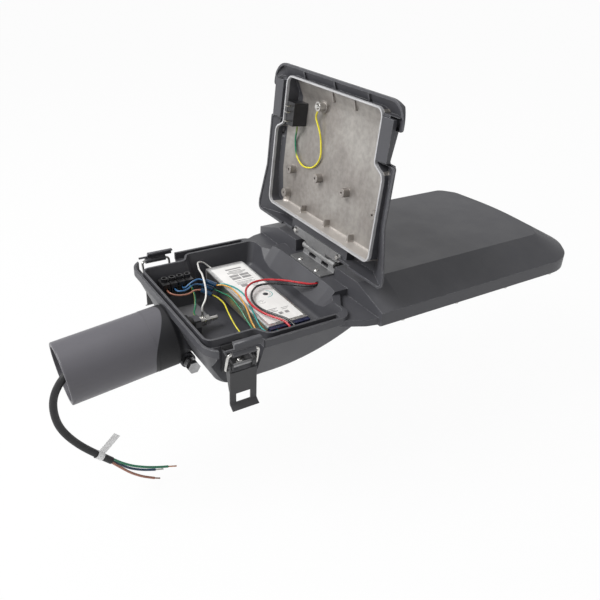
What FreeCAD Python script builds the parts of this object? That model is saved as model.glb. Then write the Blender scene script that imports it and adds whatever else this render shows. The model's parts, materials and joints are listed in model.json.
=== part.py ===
import FreeCAD, Part
import math
import os

import Sketcher
from FreeCAD import Placement, Rotation, Vector

# LED street light head on a pole spigot, gear tray open, lid swung up on its hinge.
# Millimetres. The origin is the middle of the spigot's mouth, +X runs out to the head's tip,
# +Y is the side away from the photograph's view and +Z is up.

DIMENSIONS = [
    # gear tray
    ("rim_z", 54.2, "height of the tray's rim over the spigot's mouth"),
    ("tray_floor_z", 0, "height of the tray's floor"),
    ("floor_wall", 4, "thickness of the tray's floor"),
    ("hull_end_x", 119.5, "spigot end of the tray's outer lip"),
    ("hull_half_width", 119.5, "half width of the tray over its outer lip"),
    ("hull_corner", 26, "corner radius of the outer lip"),
    ("hull_foot_corner", 18, "corner radius at the foot of the tray's walls"),
    ("hull_edge_round", 8, "rounding between the walls and the belly"),
    ("hull_draft", 22, "lean of the outer walls, degrees"),
    ("band_depth", 9, "depth of the upright band along the lip"),
    ("band_step", 1.5, "ledge under that band"),
    ("belly_turn_x", 263.7, "where the belly's two straight lines would meet"),
    ("belly_angle", 46, "slope at which the belly reaches the head, degrees"),
    ("belly_radius", 150, "curve of the belly"),
    ("cavity_end_x", 129, "spigot end of the tray's opening"),
    ("cavity_hinge_x", 289, "hinge end of the tray's opening"),
    ("narrow_half_width", 91, "half width of the opening beside the latches"),
    ("wide_half_width", 107, "half width of the opening past the latches"),
    ("shoulder_start_x", 184.5, "where the opening begins to widen"),
    ("shoulder_end_x", 193.4, "where the opening is wide"),
    ("cavity_corner", 8, "corner radius of the opening"),
    ("cavity_draft", 12, "lean of the inner walls, degrees"),
    ("cavity_edge_round", 7, "rounding round the tray's floor"),
    ("rim_wall", 2.5, "thickness of the inner rim wall"),
    ("lip_wall", 3, "thickness of the outer lip"),
    ("trough_end_x", 276, "hinge end of the trough between rim and lip"),
    ("trough_depth", 9, "depth of that trough"),
    ("recess_start_x", 131, "spigot side of the latch recess"),
    ("recess_end_x", 181, "head side of the latch recess"),
    ("recess_half_width", 94.5, "half width of the tray between the two recesses"),
    # neck to the head
    ("flange_top_z", 50, "top of the flange beside the neck"),
    ("head_edge_z", 42, "underside of the head's edge band"),
    ("ledge_x", 292.5, "hinge end of the tray's rim"),
    ("ledge_round", 16, "outer corner of the rim at the hinge end"),
    ("strip_z", 58.5, "top of the strip that carries the hinge"),
    ("strip_half_width", 72, "half width of that strip"),
    ("chute_x", 303.5, "hinge side edge of the wiring chute at the strip"),
    ("chute_half_width", 58, "half width of the chute at the strip"),
    ("chute_foot_x", 268, "foot of the chute's slope"),
    ("chute_foot_z", 17, "height of that foot"),
    # lamp head
    ("head_start_x", 318, "front wall of the head above the strip"),
    ("head_half_width", 138, "half width of the head"),
    ("head_shoulder_x", 632, "corner of the head where the sides turn in"),
    ("head_tip_corner_x", 668, "corner of the head beside the tip"),
    ("head_tip_corner_y", 92, "half width between those corners"),
    ("head_tip_x", 678, "bowed tip before rounding"),
    ("head_corner", 60, "rounding of the head's corners"),
    ("head_tip_bow", 400, "curve of the tip"),
    ("head_band_z", 58, "top of the edge band, where the roof begins"),
    ("roof_inset", 43, "width of the sloping roof sides"),
    ("roof_z", 80, "height of the flat top"),
    ("scoop_end_x", 350, "where the scoop behind the hinge meets the flat top"),
    ("scoop_z", 74.3, "height of the roof at the front wall"),
    ("scoop_half_width", 88, "half width of the roof at the front wall"),
    ("lamp_bay_start_x", 330, "hinge end of the lamp bay"),
    ("lamp_bay_margin", 14, "from the head's edge to the lamp bay"),
    ("lamp_bay_top_z", 56, "ceiling of the lamp bay"),
    ("glass_seat_margin", 9, "from the head's edge to the glass seat"),
    ("glass_seat_z", 48, "ceiling of the glass seat"),
    ("glass_thickness", 4, "thickness of the cover glass"),
    ("glass_gap", 0.5, "gap round the cover glass"),
    ("seal_width", 3.5, "width of the glass seal"),
    ("frame_margin", 3, "from the head's edge to the glass frame"),
    ("frame_width", 17, "width of the glass frame"),
    ("frame_thickness", 2, "thickness of the glass frame"),
    ("frame_screw_margin", 6.2, "from the head's edge to the frame screws"),
    ("board_margin", 17, "from the head's edge to the lamp board"),
    ("board_thickness", 2, "thickness of the lamp board"),
    ("lens_radius", 7.5, "radius of one lens"),
    ("lens_height", 5, "height of one lens"),
    ("lens_pitch", 34, "distance between lenses"),
    ("lens_rows", 5, "rows of lenses across the head"),
    ("lens_columns", 6, "lenses in a row"),
    # spigot
    ("spigot_tilt", 6.5, "tilt of the spigot, mouth down, degrees"),
    ("spigot_length", 98, "bare length of the spigot"),
    ("spigot_radius", 35.7, "outer radius of the spigot"),
    ("pole_bore_radius", 31, "radius of the pole socket"),
    ("pole_bore_depth", 88, "depth of the pole socket"),
    ("spigot_mouth_round", 1.2, "rounding of the mouth's edges"),
    ("spigot_cable_radius", 16, "cable passage behind the pole socket"),
    ("plug_radius", 30, "radius of the spigot's inner end"),
    ("plug_end", 119, "end of the plug along the spigot"),
    ("tongue_end", 134, "end of the tongue under the plug"),
    ("tongue_top", -17, "top of the tongue below the spigot's axis"),
    ("socket_gap", 0.2, "clearance round the plug"),
    ("neck_radius", 36, "radius of the housing's neck"),
    ("neck_straight_end", 122, "where the neck begins to taper"),
    ("neck_taper_end", 158, "where the neck runs out under the tray"),
    ("neck_taper_radius", 20, "radius of the neck there"),
    ("set_screw_x", 132, "set screws along the spigot"),
    ("set_screw_z", -7, "height of the set screws"),
    ("set_screw_radius", 4, "shank radius of a set screw"),
    ("set_screw_tip_y", 24.4, "inner end of a set screw"),
    ("set_screw_head_y", 42, "seat of a set screw's head"),
    ("set_screw_head", 6, "head height of a set screw"),
    ("set_screw_across", 7.5, "corner radius of a set screw's head"),
    ("screw_boss_radius", 9, "radius of the boss round a set screw"),
    ("screw_boss_y", 31, "outer face of that boss"),
    ("locknut_height", 5, "height of a set screw's locknut"),
    ("running_gap", 0.05, "radial clearance of screws and pins in their holes"),
    # hinge
    ("hinge_x", 326.2, "hinge axis along the head"),
    ("hinge_z", 70.5, "height of the hinge axis"),
    ("open_angle", 94.9, "how far the lid stands open, degrees"),
    ("hinge_pin_radius", 2.5, "radius of the hinge pin"),
    ("barrel_radius", 4.5, "outer radius of the hinge barrel"),
    ("barrel_half_length", 34.8, "half length of the hinge barrel"),
    ("knuckle_half_length", 7, "half length of the middle knuckle"),
    ("knuckle_split_y", 21, "where the lid's knuckle ends"),
    ("knuckle_gap", 0.4, "gap between knuckles"),
    ("leaf_thickness", 2, "thickness of both hinge leaves"),
    ("tray_leaf_x", 304.5, "front edge of the tray's leaf"),
    ("lid_leaf_x", 305, "front edge of the lid's leaf"),
    ("lid_leaf_wide_x", 316, "where the lid's leaf is still wide"),
    ("lid_leaf_half_width", 52, "half width of the lid's leaf"),
    ("lid_leaf_z", 62, "underside of the lid's leaf when shut"),
    ("pocket_half_width", 44, "half width of the hinge pocket"),
    ("pocket_end_x", 338, "end of the hinge pocket"),
    ("hinge_rivet_y", 18, "rivets each side of the middle"),
    ("hinge_rivet_x", 309.5, "rivets along the head"),
    ("hinge_rivet_radius", 2.5, "shank radius of a hinge rivet"),
    ("hinge_rivet_head", 1.3, "head height of a hinge rivet"),
    ("lid_screw_y", 46, "screws of the lid's leaf each side of the middle"),
    ("lid_screw_x", 309.8, "those screws along the lid"),
    # lid, given in its shut position
    ("lid_end_x", 115.2, "spigot end of the lid"),
    ("lid_rear_x", 311, "hinge end of the lid"),
    ("lid_corner_half_width", 125, "half width of the lid over its corner bumpers"),
    ("lid_corner_end_x", 143, "end of the corner bumpers"),
    ("lid_waist_half_width", 118.5, "half width of the lid over the latches"),
    ("lid_waist_end_x", 179, "end of that waist"),
    ("lid_half_width", 124, "half width of the lid past the latches"),
    ("lid_flare_start_x", 245, "where the lid's sides flare"),
    ("lid_flare_end_x", 297, "where the flare ends"),
    ("lid_flare_half_width", 136, "half width of the lid at the hinge end"),
    ("lid_corner", 24, "corner radius of the lid's spigot end"),
    ("lid_skirt_z", 56, "lower edge of the lid's skirt"),
    ("lid_top_z", 79, "top of the lid"),
    ("lid_edge_round", 2.5, "rounding of the lid's top edge"),
    ("lid_wall", 2.8, "thickness of the lid's skirt and top"),
    ("gasket_wall", 2.5, "thickness of the lid's inner wall"),
    ("gasket_wall_z", 58, "lower edge of that wall, where the gasket begins"),
    ("gasket_gap", 0.3, "from the rim to the gasket when shut"),
    ("gasket_margin", 0.3, "how far the gasket is drawn in from its wall"),
    ("catch_start_x", 134, "spigot side of the latch catch"),
    ("catch_end_x", 178, "head side of the latch catch"),
    ("catch_wall_half_width", 104, "outer face of the wall behind the catch"),
    ("catch_tip_half_width", 114, "tip of the catch"),
    ("catch_top_z", 57, "top of the catch, where the claw bears"),
    ("catch_foot_z", 52, "underside of the catch"),
    ("catch_roof_z", 71, "roof over the catch"),
    ("lid_boss_radius", 5.5, "radius of the lid's inner bosses"),
    ("lid_boss_height", 9, "height of the lid's inner bosses"),
    ("lid_rib_height", 8, "height of the lid's inner ribs"),
    # latches
    ("latch_x", 155.5, "middle of both latches"),
    ("latch_pin_y", 116, "lever pivot from the middle of the head"),
    ("latch_pin_z", 33, "height of the lever pivot"),
    ("latch_pin_radius", 2, "radius of the lever pivot pin"),
    ("latch_pin_half_length", 15.9, "half length of that pin"),
    ("latch_base_half", 13, "half width of the latch base"),
    ("latch_sheet", 2, "sheet thickness of the latch base and lever ears"),
    ("latch_ear_radius", 4, "radius of the ears round the pivot"),
    ("latch_base_foot_z", 14, "lower edge of the latch base"),
    ("latch_base_top_z", 46, "upper edge of the latch base"),
    ("lever_half", 15.5, "half width of the lever"),
    ("lever_face_y", 120, "outer face of the lever"),
    ("lever_sheet", 1.7, "sheet thickness of the lever's plate"),
    ("lever_plate_top_z", 27, "upper edge of the lever's plate"),
    ("lever_bend_z", -12, "where the lever's lip bends out"),
    ("lever_lip_angle", 40, "how far the lip bends out, degrees"),
    ("lever_lip_drop", 8, "how far the lip reaches down"),
    ("lever_bend_radius", 4, "outer bend radius of the lip"),
    ("lever_window_half", 8.5, "half width of the lever's finger slot"),
    ("lever_window_top_z", 0, "upper edge of the finger slot"),
    ("lever_window_foot_z", -11.5, "lower edge of the finger slot"),
    ("bail_pin_y", 114.5, "wire pivot in the lever"),
    ("bail_pin_z", 28.5, "height of the wire pivot"),
    ("bail_wire_radius", 1.6, "radius of the bail's wire"),
    ("bail_half", 17.6, "half width of the bail between wire middles"),
    ("bail_bar_y", 120, "top bar of the bail"),
    ("bail_bar_z", 50, "height of the top bar"),
    ("bail_bend", 4, "bend radius of the wire"),
    ("bail_end", 13.7, "where the wire's turned in ends stop"),
    ("claw_half", 21.5, "half width of the claw's plate"),
    ("claw_knuckle_half", 13.2, "half width of the claw's knuckle"),
    ("claw_knuckle_radius", 3.4, "outer radius of the claw's knuckle"),
    ("claw_sheet", 1.8, "sheet thickness of the claw"),
    ("claw_shoulder_z", 54.2, "where the claw's plate widens"),
    ("claw_top_z", 61.6, "top of the claw"),
    ("claw_tip_y", 114.8, "tip of the claw"),
    # gear in the tray
    ("driver_start_x", 208, "spigot side of the driver"),
    ("driver_end_x", 262, "head side of the driver"),
    ("driver_near_y", -82, "near end of the driver"),
    ("driver_far_y", 86, "far end of the driver"),
    ("driver_foot_z", 19, "underside of the driver"),
    ("driver_top_z", 40, "top of the driver"),
    ("driver_round", 2.5, "edge rounding of the driver's case"),
    ("end_cap_length", 5, "length of the driver's end caps"),
    ("end_cap_drop", 1.2, "how far the end caps lie under the case's faces"),
    ("label_margin", 2, "from the case's edge to its label"),
    ("label_thickness", 0.3, "thickness of the label"),
    ("ear_length", 9, "length of the driver's screw ears"),
    ("ear_thickness", 2, "thickness of those ears"),
    ("post_radius", 5, "radius of the driver's posts"),
    ("post_root_z", 2.6, "where those posts grow out of the belly"),
    ("screw_radius", 2, "shank radius of a small screw"),
    ("screw_head_radius", 3.8, "head radius of a small screw"),
    ("screw_head_height", 2.4, "head height of a small screw"),
    ("terminal_start_x", 143, "spigot side of the terminal block"),
    ("plinth_start_x", 150, "spigot side of the plinth under the terminal block"),
    ("terminal_end_x", 183, "head side of the terminal block"),
    ("terminal_near_y", 64, "near side of the terminal block"),
    ("terminal_far_y", 82, "far side of the terminal block"),
    ("terminal_foot_z", 24, "underside of the terminal block"),
    ("terminal_top_z", 41, "top of the terminal block"),
    ("terminal_poles", 4, "poles of the terminal block"),
    ("terminal_mouth_rise", 9, "height of the wire mouths over the block's underside"),
    ("terminal_mouth_depth", 5, "depth of the wire mouths"),
    ("pad_near_y", 28, "near side of the low floor pad by the terminal block"),
    ("pad_top_z", 5, "top of that pad"),
    ("earth_y", 10, "earth bolt from the middle of the tray"),
    ("earth_z", 13, "height of the earth bolt"),
    ("earth_radius", 3, "radius of the earth bolt"),
    ("earth_boss_start_x", 155, "spigot side of the earth boss"),
    ("earth_boss_end_x", 165, "head side of the earth boss"),
    ("earth_end_x", 188, "end of the earth bolt"),
    ("lug_reach", 13, "how far an earth lug reaches from the bolt"),
    ("lug_width", 5, "width of an earth lug's tongue"),
    ("gland_radius", 8, "radius of the cable gland"),
    ("gland_bore", 4.6, "bore of the cable gland"),
    ("gland_z", 21, "height of the cable gland"),
    ("gland_flange_radius", 12, "flange radius of the cable gland"),
    ("lead_y", -36, "lamp leads' channel from the middle"),
    ("lead_z", 52, "height of the lamp leads' channel"),
    ("lead_hole_radius", 3.4, "radius of that channel"),
    ("grommet_start_x", 299, "end of the sleeve that stands out in the chute"),
    ("grommet_bore", 2.9, "bore of the sleeve"),
    # leads and supply cable
    ("lead_radius", 1.1, "radius of the leads between the terminal block and the splices"),
    ("thin_lead_radius", 0.9, "radius of the driver's own thin leads"),
    ("lamp_lead_radius", 1.3, "radius of the two lamp leads"),
    ("splice_radius", 3, "radius of a splice"),
    ("splice_mouth_radius", 2.4, "radius of its mouths"),
    ("splice_mouth_depth", 3, "depth of its mouths"),
    ("cable_radius", 4.25, "radius of the supply cable"),
    ("core_radius", 1.5, "radius of one core of the supply cable"),
    ("tag_from_end", 19, "middle of the tag from the end of the cable"),
    ("tag_width", 9, "width of the tag"),
    ("tag_length", 27, "length of the tag's flag"),
    ("tag_thickness", 0.5, "thickness of the tag"),
    ("tag_gap", 0.3, "play of the tag round the cable"),
    # gear in the lid, given in the lid's shut position
    ("switch_x", 171, "middle of the door switch along the lid"),
    ("switch_y", 80, "middle of the door switch across the lid"),
    ("switch_length", 28, "length of the door switch"),
    ("switch_width", 15, "width of the door switch"),
    ("switch_height", 20, "height of the door switch"),
    ("earth_post_x", 153, "earth post along the lid"),
    ("earth_post_y", 37, "earth post across the lid"),
    ("earth_post_radius", 5.5, "radius of the earth post"),
    ("earth_post_height", 8, "height of the earth post"),
]


class Size:
    """A length or angle that carries its amount and the sheet formula it comes from."""

    def __init__(self, amount, text):
        self.amount = float(amount)
        self.text = text

    def __add__(self, other):
        return Size(self.amount + amount(other), "(%s + %s)" % (self.text, text(other)))

    def __sub__(self, other):
        return Size(self.amount - amount(other), "(%s - %s)" % (self.text, text(other)))

    def __mul__(self, other):
        return Size(self.amount * amount(other), "(%s * %s)" % (self.text, text(other)))

    def __truediv__(self, other):
        return Size(self.amount / amount(other), "(%s / %s)" % (self.text, text(other)))

    def __radd__(self, other):
        return Size(amount(other), text(other)) + self

    def __rsub__(self, other):
        return Size(amount(other), text(other)) - self

    def __rmul__(self, other):
        return Size(amount(other), text(other)) * self

    def __neg__(self):
        return 0 - self


def amount(size):
    return size.amount if isinstance(size, Size) else float(size)


def text(size):
    return size.text if isinstance(size, Size) else "%.9g" % size


def tan(angle):
    return Size(math.tan(math.radians(amount(angle))), "tan(%s)" % text(angle))


def sin(angle):
    return Size(math.sin(math.radians(amount(angle))), "sin(%s)" % text(angle))


def cos(angle):
    return Size(math.cos(math.radians(amount(angle))), "cos(%s)" % text(angle))


doc = FreeCAD.newDocument("StreetLightHead")
sheet = doc.addObject("Spreadsheet::Sheet", "Dimensions")


class Dimensions:
    """The sheet's cells by name."""

    def __init__(self, rows):
        for row, (name, size, note) in enumerate(rows, 1):
            sheet.set("A%d" % row, name)
            sheet.set("B%d" % row, "%g" % size)
            sheet.set("C%d" % row, note)
            sheet.setAlias("B%d" % row, name)
            setattr(self, name, Size(size, "Dimensions.%s" % name))


dim = Dimensions(DIMENSIONS)
doc.recompute()


def bind(thing, path, size):
    """Ties a property to its formula."""
    thing.setExpression(path, text(size))


def place(thing, x=0, y=0, z=0, turn=None):
    """Puts an object at a point, after an optional turn."""
    if turn:
        thing.Placement = Placement(Vector(), turn)
    for name, size in (("x", x), ("y", y), ("z", z)):
        if isinstance(size, Size) or size:
            bind(thing, "Placement.Base." + name, size)
    return thing


# Sketches

PLANE_TURNS = {
    "XY": Rotation(),
    "XZ": Rotation(Vector(1, 0, 0), 90),
    "YZ": Rotation(Vector(1, 1, 1), 120),
}


def fix_point(sketch, shape, end, x, y):
    """Ties one point of a sketch to its distances from the origin."""
    for kind, size in (("DistanceX", x), ("DistanceY", y)):
        index = sketch.addConstraint(Sketcher.Constraint(kind, -1, 1, shape, end, amount(size)))
        if isinstance(size, Size):
            sketch.setExpression("Constraints[%d]" % index, size.text)


def fix_radius(sketch, shape, radius):
    index = sketch.addConstraint(Sketcher.Constraint("Radius", shape, amount(radius)))
    if isinstance(radius, Size):
        sketch.setExpression("Constraints[%d]" % index, radius.text)


def draw_circle(sketch, x, y, radius):
    middle = Vector(amount(x), amount(y), 0)
    shape = sketch.addGeometry(Part.Circle(middle, Vector(0, 0, 1), amount(radius)), False)
    fix_point(sketch, shape, 3, x, y)
    fix_radius(sketch, shape, radius)


class Corner:
    """One corner of an outline: where it is and how its rounding runs."""

    def __init__(self, before, here, after, radius):
        self.spot = here
        back = (before - here).normalize()
        ahead = (after - here).normalize()
        self.entry = self.leave = here
        self.radius = radius
        if radius:
            half = back.getAngle(ahead) / 2
            reach = radius / math.tan(half)
            self.entry = here + back * reach
            self.leave = here + ahead * reach
            self.middle = here + (back + ahead).normalize() * (radius / math.sin(half))
            self.turns_left = back.cross(ahead).z < 0

    def arc(self):
        ends = (self.entry, self.leave) if self.turns_left else (self.leave, self.entry)
        angles = [math.atan2(end.y - self.middle.y, end.x - self.middle.x) for end in ends]
        return Part.ArcOfCircle(Part.Circle(self.middle, Vector(0, 0, 1), self.radius), *angles)


def draw_outline(sketch, corners):
    """A closed outline through the corners; a corner's third value is its rounding."""
    count = len(corners)
    spots = [Vector(amount(corner[0]), amount(corner[1]), 0) for corner in corners]
    radii = [amount(corner[2]) if len(corner) > 2 else 0 for corner in corners]
    turns = [Corner(spots[i - 1], spots[i], spots[(i + 1) % count], radii[i]) for i in range(count)]
    lines = []
    for index, turn in enumerate(turns):
        edge = Part.LineSegment(turn.leave, turns[(index + 1) % count].entry)
        lines.append(sketch.addGeometry(edge, False))
    for index, (turn, corner) in enumerate(zip(turns, corners)):
        before, after = lines[index - 1], lines[index]
        if not turn.radius:
            sketch.addConstraint(Sketcher.Constraint("Coincident", before, 2, after, 1))
            fix_point(sketch, after, 1, corner[0], corner[1])
            continue
        arc = sketch.addGeometry(turn.arc(), False)
        point = sketch.addGeometry(Part.Point(turn.spot), True)
        arc_in, arc_out = (1, 2) if turn.turns_left else (2, 1)
        sketch.addConstraint(Sketcher.Constraint("Tangent", before, 2, arc, arc_in))
        sketch.addConstraint(Sketcher.Constraint("Tangent", arc, arc_out, after, 1))
        fix_radius(sketch, arc, corner[2])
        sketch.addConstraint(Sketcher.Constraint("PointOnObject", point, 1, before))
        sketch.addConstraint(Sketcher.Constraint("PointOnObject", point, 1, after))
        fix_point(sketch, point, 1, corner[0], corner[1])


def draw(sketch, loops):
    """Outlines are lists of corners; a circle is a tuple of its middle and radius."""
    for loop in loops:
        if isinstance(loop, tuple):
            draw_circle(sketch, *loop)
        else:
            draw_outline(sketch, loop)


def both_sides(corners):
    """Corners on the +Y side, and the same again mirrored to the -Y side."""
    near = [(corner[0], -corner[1]) + tuple(corner[2:]) for corner in reversed(corners)]
    return list(corners) + near


def rectangle(x0, y0, x1, y1, *rounding):
    return [(x0, y0) + rounding, (x1, y0) + rounding, (x1, y1) + rounding, (x0, y1) + rounding]


class Body:
    """A PartDesign body and the features it is made from."""

    def __init__(self, label):
        self.body = doc.addObject("PartDesign::Body", "Body")
        self.body.Label = label
        self.body.AllowCompound = True

    def sketch(self, plane, offset, loops):
        sketch = self.body.newObject("Sketcher::SketchObject", "Sketch")
        origin = [f for f in self.body.Origin.OriginFeatures if f.Role == plane + "_Plane"]
        sketch.AttachmentSupport = [(origin[0], "")]
        sketch.MapMode = "FlatFace"
        if isinstance(offset, Size) or offset:
            bind(sketch, "AttachmentOffset.Base.z", -offset if plane == "XZ" else offset)
        draw(sketch, loops)
        return sketch

    def prism(self, kind, plane, offset, loops, length, taper=0, both=False, back=False):
        feature = self.body.newObject("PartDesign::" + kind, kind)
        feature.Profile = self.sketch(plane, offset, loops)
        bind(feature, "Length", length)
        if isinstance(taper, Size) or taper:
            bind(feature, "TaperAngle", taper)
        if both:
            feature.SideType = "Symmetric"
        feature.Reversed = back
        return self

    def pad(self, *args, **options):
        return self.prism("Pad", *args, **options)

    def pocket(self, *args, **options):
        return self.prism("Pocket", *args, **options)

    def loft(self, plane, sections, ruled=True):
        feature = self.body.newObject("PartDesign::AdditiveLoft", "Loft")
        sketches = [self.sketch(plane, offset, [corners]) for offset, corners in sections]
        feature.Profile = sketches[0]
        feature.Sections = sketches[1:]
        feature.Ruled = ruled
        return self

    def turn(self, loops, groove=False):
        """A revolution about the X axis of a profile in the XZ plane."""
        kind = "Groove" if groove else "Revolution"
        feature = self.body.newObject("PartDesign::" + kind, kind)
        feature.Profile = self.sketch("XZ", 0, loops)
        axis = [f for f in self.body.Origin.OriginFeatures if f.Role == "X_Axis"]
        feature.ReferenceAxis = (axis[0], [""])
        feature.Angle = 360
        return self

    def fillet(self, radius, wanted):
        """Rounds the edges that the test picks."""
        doc.recompute()
        tip = self.body.Tip
        names = ["Edge%d" % i for i, edge in enumerate(tip.Shape.Edges, 1) if wanted(edge)]
        feature = self.body.newObject("PartDesign::Fillet", "Fillet")
        feature.Base = (tip, names)
        bind(feature, "Radius", radius)
        return self


def solid_of(thing):
    return thing.body if isinstance(thing, Body) else thing


# Primitives and booleans

def box(x0, y0, z0, x1, y1, z1):
    thing = doc.addObject("Part::Box", "Box")
    bind(thing, "Length", x1 - x0)
    bind(thing, "Width", y1 - y0)
    bind(thing, "Height", z1 - z0)
    return place(thing, x0, y0, z0)


AXIS_TURNS = {
    "+X": Rotation(Vector(0, 1, 0), 90),
    "-X": Rotation(Vector(0, 1, 0), -90),
    "+Y": Rotation(Vector(1, 0, 0), -90),
    "-Y": Rotation(Vector(1, 0, 0), 90),
    "+Z": Rotation(),
    "-Z": Rotation(Vector(1, 0, 0), 180),
}


def rod(x, y, z, axis, radius, length):
    thing = doc.addObject("Part::Cylinder", "Cylinder")
    bind(thing, "Radius", radius)
    bind(thing, "Height", length)
    return place(thing, x, y, z, AXIS_TURNS[axis])


def cone(x, y, z, axis, radius, end_radius, length):
    thing = doc.addObject("Part::Cone", "Cone")
    bind(thing, "Radius1", radius)
    bind(thing, "Radius2", end_radius)
    bind(thing, "Height", length)
    return place(thing, x, y, z, AXIS_TURNS[axis])


def hexagon(x, y, z, axis, corner_radius, length):
    thing = doc.addObject("Part::Prism", "Prism")
    thing.Polygon = 6
    bind(thing, "Circumradius", corner_radius)
    bind(thing, "Height", length)
    return place(thing, x, y, z, AXIS_TURNS[axis])


def fuse(*things):
    if len(things) == 1:
        return solid_of(things[0])
    whole = doc.addObject("Part::MultiFuse", "Fusion")
    whole.Shapes = [solid_of(thing) for thing in things]
    whole.Refine = True
    return whole


def cut(base, *tools):
    result = doc.addObject("Part::Cut", "Cut")
    result.Base = solid_of(base)
    result.Tool = fuse(*tools)
    return result


def common(first, second):
    result = doc.addObject("Part::Common", "Common")
    result.Base = solid_of(first)
    result.Tool = solid_of(second)
    return result


def group(*things):
    result = doc.addObject("Part::Compound", "Compound")
    result.Links = [solid_of(thing) for thing in things]
    return result


def free_sketch(plane, offset, loops):
    sketch = doc.addObject("Sketcher::SketchObject", "Sketch")
    sketch.Placement = Placement(Vector(), PLANE_TURNS[plane])
    if isinstance(offset, Size) or offset:
        bind(sketch, "Placement.Base." + {"XY": "z", "XZ": "y", "YZ": "x"}[plane], offset)
    draw(sketch, loops)
    return sketch


def extrude(sketch, length, grow=0, plane="XY"):
    """A solid from a sketch, with its outline first offset outwards by grow."""
    base = sketch
    if isinstance(grow, Size) or grow:
        base = doc.addObject("Part::Offset2D", "Offset")
        base.Source = sketch
        bind(base, "Value", grow)
        base.Join = "Intersection"
    solid = doc.addObject("Part::Extrusion", "Extrusion")
    solid.Base = base
    solid.DirMode = "Custom"
    solid.Dir = {"XY": Vector(0, 0, 1), "XZ": Vector(0, 1, 0), "YZ": Vector(1, 0, 0)}[plane]
    bind(solid, "LengthFwd", length)
    solid.Solid = True
    return solid


pieces = {}


def keep(label, thing):
    """Names a finished sub-part."""
    thing = solid_of(thing)
    thing.Label = label
    pieces[label] = thing
    return thing


# Forms that several pieces share

def cavity_corners(inset=0):
    """The tray's opening, from the hinge end round to the spigot end on the far side."""
    end = dim.cavity_end_x + inset
    return both_sides([
        (dim.cavity_hinge_x - inset, dim.wide_half_width - inset, dim.cavity_corner),
        (dim.shoulder_end_x + inset, dim.wide_half_width - inset, dim.cavity_corner),
        (dim.shoulder_start_x + inset, dim.narrow_half_width - inset, dim.cavity_corner),
        (end, dim.narrow_half_width - inset, dim.cavity_corner),
    ])


def belly(z):
    """The line of the belly or floor that lies at the given height at the spigot end."""
    rise = dim.strip_z - z
    turn = dim.belly_turn_x - (z + dim.floor_wall) * tan(dim.belly_angle / 2)
    return turn, rise / tan(dim.belly_angle)


def below_belly(z, radius):
    """A side profile of everything under the belly line at the given height."""
    turn, run = belly(z)
    low = z - 40
    return [
        (dim.shoulder_start_x - 20, z),
        (turn, z, radius),
        (turn + run, dim.strip_z),
        (turn + run + 30, dim.strip_z),
        (turn + run + 30, low),
        (dim.shoulder_start_x - 20, low),
    ]


def on_belly(z, radius):
    """A test for edges that lie along the belly line's sides and ends."""
    turn, run = belly(z)
    angle = math.radians(dim.belly_angle.amount)
    start = turn.amount - amount(radius) * math.tan(angle / 2)

    def height(x):
        along = x - start
        if along <= 0:
            return amount(z)
        if along < amount(radius) * math.sin(angle):
            return amount(z) + amount(radius) - math.sqrt(amount(radius) ** 2 - along ** 2)
        return amount(z) + (x - turn.amount) * math.tan(angle)

    def lies_on(edge):
        ends = [edge.valueAt(edge.FirstParameter), edge.valueAt(edge.LastParameter)]
        across = edge.BoundBox.XLength < 0.01 and edge.BoundBox.XMin > start - 0.5
        return not across and all(abs(end.z - height(end.x)) < 0.05 for end in ends)

    return lies_on


def head_corners(start):
    """The head's outline in plan, from a straight end at start to the bowed tip."""
    side = [
        (start, dim.head_half_width),
        (dim.head_shoulder_x, dim.head_half_width, dim.head_corner),
        (dim.head_tip_corner_x, dim.head_tip_corner_y, dim.head_corner),
    ]
    far_and_near = both_sides(side)
    return far_and_near[:3] + [(dim.head_tip_x, 0, dim.head_tip_bow)] + far_and_near[3:]


def head_slab(start, margin, z, thickness):
    """A plate with the head's outline drawn in by a margin, its straight end at start."""
    outline = free_sketch("XY", z, [head_corners(start - margin)])
    return extrude(outline, thickness, grow=-margin)


# Housing

def hull_form():
    """The tray's outside: an upright band, leaning walls and a belly that rises to the head."""
    inner_x = dim.head_start_x + 12
    foot_z = dim.rim_z - dim.band_depth
    lean = (foot_z - dim.tray_floor_z + dim.floor_wall) * tan(dim.hull_draft)

    def section(inset, corner):
        return both_sides([
            (inner_x, dim.hull_half_width - inset),
            (dim.hull_end_x + inset, dim.hull_half_width - inset, corner),
        ])

    under = dim.tray_floor_z - dim.floor_wall
    hull = Body("hull_form")
    hull.loft("XY", [
        (foot_z, section(dim.band_step, dim.hull_corner)),
        (under, section(dim.band_step + lean, dim.hull_foot_corner)),
    ])
    hull.pocket("XZ", 0, [below_belly(under, dim.belly_radius)], dim.hull_half_width * 3, both=True)
    hull.fillet(dim.hull_edge_round, on_belly(under, dim.belly_radius))
    hull.pad("XY", foot_z, [section(0, dim.hull_corner)], dim.band_depth)
    return hull


def cavity_form():
    """The space inside the tray, with its sloping floor and the chute towards the hinge."""
    rise = dim.rim_z - dim.tray_floor_z
    cavity = Body("cavity_form")
    above = 6
    cavity.loft("XY", [
        (dim.rim_z + above, cavity_corners(-above * tan(dim.cavity_draft))),
        (dim.tray_floor_z, cavity_corners(rise * tan(dim.cavity_draft))),
    ])
    floor_radius = dim.belly_radius - dim.floor_wall
    cavity.pocket("XZ", 0, [below_belly(dim.tray_floor_z, floor_radius)], dim.wide_half_width * 3,
                  both=True)
    cavity.fillet(dim.cavity_edge_round, on_belly(dim.tray_floor_z, floor_radius))
    return cavity


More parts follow.
